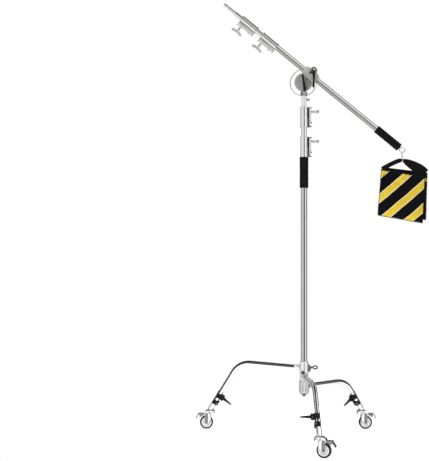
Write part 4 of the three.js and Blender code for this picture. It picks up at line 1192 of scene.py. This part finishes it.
def build_hook():
    centre = joint_at("hook_swing")
    low, high = (z - centre.z / MM for z in heights("snap_hook"))
    bend = 10
    top, foot = high - bend - WIRE_RADIUS, low + bend + WIRE_RADIUS
    loop = [(0, y, z) for y, z in arc((0, top), bend, 0, 180, 17) + arc((0, foot), bend, 180, 360, 17)]
    gate = moved(turned([(0, foot + 4), (2.2, foot + 4), (2.5, foot + 5), (2.5, top - 5), (2.2, top - 4),
                         (0, top - 4)], 24), Matrix.Translation((0, bend, 0)))
    hinge, catch = (along_x(rod(1.2, -3.6, 3.6, 16, 0.3), y=bend, z=z) for z in (foot + 8, top - 8))
    piece("carabiner", [swept(loop, 2.1, 18, closed=True), gate, hinge, catch],
          axes(centre, RIGHT, UP), HOOK_CHROME, "snap_hook", ["snap_hook"])


def pouch_shell(corners, middle_y, cells=50):
    """A closed pillow over the four corners, fuller near its foot, and the numbers of its seam's points."""
    half_fill = 12.5
    top_left, foot_left, foot_right, top_right = (Vector(c) for c in corners)
    points, faces, index, seam = [], [], {}, []
    for side in (-1, 1):
        for i in range(cells + 1):
            for j in range(cells + 1):
                on_seam = i in (0, cells) or j in (0, cells)
                if on_seam and side == 1:
                    index[side, i, j] = index[-1, i, j]
                    continue
                u, v = i / cells, j / cells
                place = top_left.lerp(top_right, u).lerp(foot_left.lerp(foot_right, u), v)
                belly = (math.sin(math.pi * u) * math.sin(math.pi * v ** 1.35)) ** 0.42
                y = middle_y + side * half_fill * belly * (0.72 + 0.28 * v)
                index[side, i, j] = len(points)
                if on_seam:
                    seam.append(len(points))
                points.append((place.x, y, place.y))
    for side in (-1, 1):
        for i in range(cells):
            for j in range(cells):
                faces.append([index[side, a, b] for a, b in ((i, j), (i + 1, j), (i + 1, j + 1), (i, j + 1))])
    return points, faces, seam


def inflate(obj, seam, middle_y, limit):
    """Fills the pouch by cloth simulation with its seam held, then keeps its points within reach."""
    held = obj.vertex_groups.new(name="seam")
    held.add(seam, 1.0, "REPLACE")
    start = [v.co.copy() for v in obj.data.vertices]
    cloth = obj.modifiers.new("cloth", "CLOTH")
    cloth.settings.quality = 6
    cloth.settings.mass = 0.25
    cloth.settings.tension_stiffness = 14
    cloth.settings.compression_stiffness = 14
    cloth.settings.bending_stiffness = 0.35
    cloth.settings.vertex_group_mass = held.name
    cloth.settings.use_pressure = True
    cloth.settings.uniform_pressure_force = 4
    cloth.settings.shrink_min = -0.03
    cloth.settings.effector_weights.gravity = 0
    scene = bpy.context.scene
    for number in range(1, 21):
        scene.frame_set(number)
    settled = obj.evaluated_get(bpy.context.evaluated_depsgraph_get()).to_mesh()
    filled = [v.co.copy() for v in settled.vertices]
    obj.modifiers.remove(cloth)
    scene.frame_set(1)
    half = POUCH_DEPTH / 2 * MM
    for vertex, before, after in zip(obj.data.vertices, start, filled):
        step = after - before
        if step.length > limit * MM:
            step = step.normalized() * limit * MM
        place = before + step
        place.y = max(middle_y - half, min(middle_y + half, place.y))
        vertex.co = place


def build_pouch(name, corners, middle_y, bag, cloth):
    points, faces, seam = pouch_shell(corners, middle_y)
    obj = piece(name, [(points, faces)], bag, cloth, "sandbag",
                [name.replace("_cloth", "")], sharp=80)
    inflate(obj, seam, bag.translation.y + middle_y * MM, 7)
    finer = obj.modifiers.new("subdivision", "SUBSURF")
    finer.levels = finer.render_levels = 1

    welt = []
    for k, here in enumerate(corners):
        nxt = corners[(k + 1) % 4]
        side = [Vector((*here, 0)).lerp(Vector((*nxt, 0)), step / 24) for step in range(24)]
        welt += [(p.x, middle_y, p.y) for p in side]
    tape = []
    for k in range(33):
        p = Vector(corners[0]).lerp(Vector(corners[3]), k / 32)
        tape.append(Vector((p.x, middle_y, p.y - 3.6 + 0.5 * math.sin(k * 0.9))))
    band = ribbon(tape, [UP] * len(tape), [8.4] * len(tape), 5.6)
    piece(f"{name}_binding", [swept(welt, 1.5, 10, closed=True), band], bag, WEBBING, "sandbag",
          bevel=1.2)


def band_through(keys, thickness, middle_y):
    """A webbing band through (x, z, width, lean) keys. lean turns its face from the front towards the top."""
    finer = smooth_path(keys, 10)
    path = [Vector((x, middle_y, z)) for x, z, _, _ in finer]
    sides = []
    for way, (_, _, _, lean) in zip(directions(path), finer):
        flat = Vector((-way.z, 0, way.x))
        sides.append(flat * math.cos(lean) + Vector((0, 1, 0)) * math.sin(lean))
    return ribbon(path, sides, [width for _, _, width, _ in finer], thickness)


def build_sandbag():
    """Two sand-filled pouches joined at the top, on a webbing strap that runs through the hook."""
    boom_y = joint_at("sandbag_swing").y
    column = joint_at("head_swivel")
    bag = axes(Vector((column.x, boom_y, 0)), RIGHT, UP)
    slant = math.radians(40.5)
    band_start = Vector((0.489, boom_y, 1.298))
    across_bands = Vector((math.sin(slant), 0, -math.cos(slant)))
    cloth = striped_cloth(band_start, across_bands, period=0.0955, width=0.0398, half_gap=0.0197)
    middle = (POUCH_DEPTH + POUCH_GAP) / 2
    build_pouch("sandbag_front_pouch_cloth", FRONT_CORNERS, -middle, bag, cloth)
    build_pouch("sandbag_rear_pouch_cloth", REAR_CORNERS, middle, bag, cloth)

    left = [(420, 1450, 26, 0.5), (444, 1464, 26, 0.5), (484, 1484, 25, 0.4), (512, 1495, 24, 0.35),
            (525, 1498.5, 18, 0.9), (531, 1499, 14, 1.4)]
    right = [(525, 1499, 14, 1.4), (533, 1497, 20, 0.7), (554, 1486, 36, 0.2), (592, 1465, 52, 0.05),
             (628, 1441, 60, 0.0), (648, 1422, 58, 0.0)]
    header = [(424, 1441, 18, 0), (500, 1432, 20, 0), (580, 1421, 22, 0), (657, 1409, 20, 0)]
    shells = [band_through(keys, 2.6, 0) for keys in (left, right, header)]
    piece("strap_webbing", shells, bag, WEBBING, "sandbag", ["sandbag_strap"], bevel=0.5)


# ---- Studio ----

def build_floor():
    mesh = bpy.data.meshes.new("floor")
    edge = [(x, y, 0) for x, y in circle(FLOOR_RADIUS, 96)]
    mesh.from_pydata(edge, [], [range(96)])
    floor = bpy.data.objects.new("floor", mesh)
    bpy.context.scene.collection.objects.link(floor)
    pale = Surface("floor_paper", (0.93, 0.93, 0.93), roughness=0.9, specular=0.1)
    pale.shader.inputs["Emission Color"].default_value = (1, 1, 1, 1)
    pale.shader.inputs["Emission Strength"].default_value = FLOOR_GLOW
    mesh.materials.append(pale.material)


def build_world():
    """White to the camera, with an even light from above and a brighter one from the ground. Reflections see
    a studio: dark behind the camera near the horizon, a bright wall on the right, a canopy above, white
    below."""
    world = bpy.data.worlds.new("studio")
    bpy.context.scene.world = world
    world.use_nodes = True
    t = Tree(world.node_tree)
    across, deep, up = t.split(t.add("TexCoord").outputs["Generated"])
    turn = t.math("ARCTAN2", across, t.math("MULTIPLY", deep, -1.0))
    share = t.math("MULTIPLY_ADD", turn, 1 / TAU, 0.5)
    rise = t.math("MULTIPLY_ADD", up, 0.5, 0.5)

    def all_round(levels):
        """Levels at angles from the camera's side, positive towards the right."""
        return t.ramp(share, [((angle + 180) / 360, level) for angle, level in levels])

    walls = all_round([
        (-180, 0.36), (-130, 0.42), (-85, 0.68), (-45, 0.78), (-16, 0.5), (-3, 0.36), (1, 0.03), (25, 0.03),
        (33, 1.0), (66, 1.1), (78, 0.45), (120, 0.36), (180, 0.34)])
    canopy = all_round([
        (-180, 0.5), (-125, 0.15), (-60, 0.15), (-46, 1.2), (-13, 1.2), (-6, 0.06), (7, 0.06), (14, 1.7),
        (40, 2.1), (72, 2.1), (92, 0.15), (150, 0.25), (180, 0.9)])
    high = t.ramp(rise, [(0.0, 0.0), (0.595, 0.0), (0.645, 1.0), (1.0, 1.0)])
    ceiling = t.ramp(rise, [(0.0, 1.0), (0.965, 1.0), (0.985, 0.12), (1.0, 0.12)])
    above = t.multiply(t.mix("MIX", high, walls, canopy), ceiling)
    ground = t.ramp(rise, [(0.0, 1.0), (0.37, 1.0), (0.42, 0.0), (1.0, 0.0)])
    white = (1.0, 1.0, 1.0, 1.0)
    reflected = t.mix("MIX", ground, above, white)
    even = t.ramp(rise, [(0.0, 1.0), (0.46, 1.0), (0.5, 0.3), (1.0, 0.3)])
    rays = t.add("LightPath").outputs
    lit = t.mix("MIX", rays["Is Diffuse Ray"], reflected, even)
    seen = t.mix("MIX", rays["Is Camera Ray"], lit, white)
    t.link(seen, t.tree.nodes["Background"].inputs["Color"])


def soft_light(name, where, target, size, power):
    data = bpy.data.lights.new(name, "AREA")
    data.shape = "DISK"
    data.size = size
    data.energy = power
    lamp = bpy.data.objects.new(name, data)
    bpy.context.scene.collection.objects.link(lamp)
    lamp.location = where
    lamp.rotation_euler = (Vector(target) - Vector(where)).to_track_quat("-Z", "Y").to_euler()
    lamp.visible_camera = False
    lamp.visible_glossy = False


def build_studio():
    bpy.context.scene.view_settings.view_transform = "Standard"
    build_floor()
    build_world()
    soft_light("key", (-2.2, -3.0, 3.8), (0, 0, 0.9), 1.4, 75)
    soft_light("top", (-0.9, 0.4, 4.2), (0, 0.1, 0), 1.6, 60)
    soft_light("fill", (3.0, -2.6, 2.0), (0, 0, 1.0), 2.0, 12)

    data = bpy.data.cameras.new("camera")
    data.sensor_width = 36
    data.lens = CAMERA_LENS
    camera = bpy.data.objects.new("camera", data)
    bpy.context.scene.collection.objects.link(camera)
    camera.location = CAMERA_PLACE
    camera.rotation_euler = (math.pi / 2, 0, 0)
    bpy.context.scene.camera = camera


# ---- The stand ----

def build_stand():
    centre, tilt_at = joint_at("head_swivel"), joint_at("boom_tilt")
    column = axes(Vector((centre.x, centre.y, 0)), RIGHT, UP)
    boom_x = joint_axis("boom_slide")
    boom_z = Vector((-boom_x.z, 0, boom_x.x))
    boom = axes(tilt_at + boom_z * BOOM_OFFSET * MM + Vector((0, BOOM_SIDE * MM, 0)), boom_x, boom_z)
    tilt = axes(tilt_at, RIGHT, UP)
    build_column(column)
    build_locks()
    build_hub()
    for name, body in LEG_BODIES.items():
        build_leg(name, body)
        build_caster(name)
    build_socket(column, tilt)
    build_head_levers(tilt)
    build_clamp(boom, tilt)
    build_clamp_hardware(boom)
    build_boom(boom)
    build_hook()
    build_sandbag()


build_stand()
build_studio()
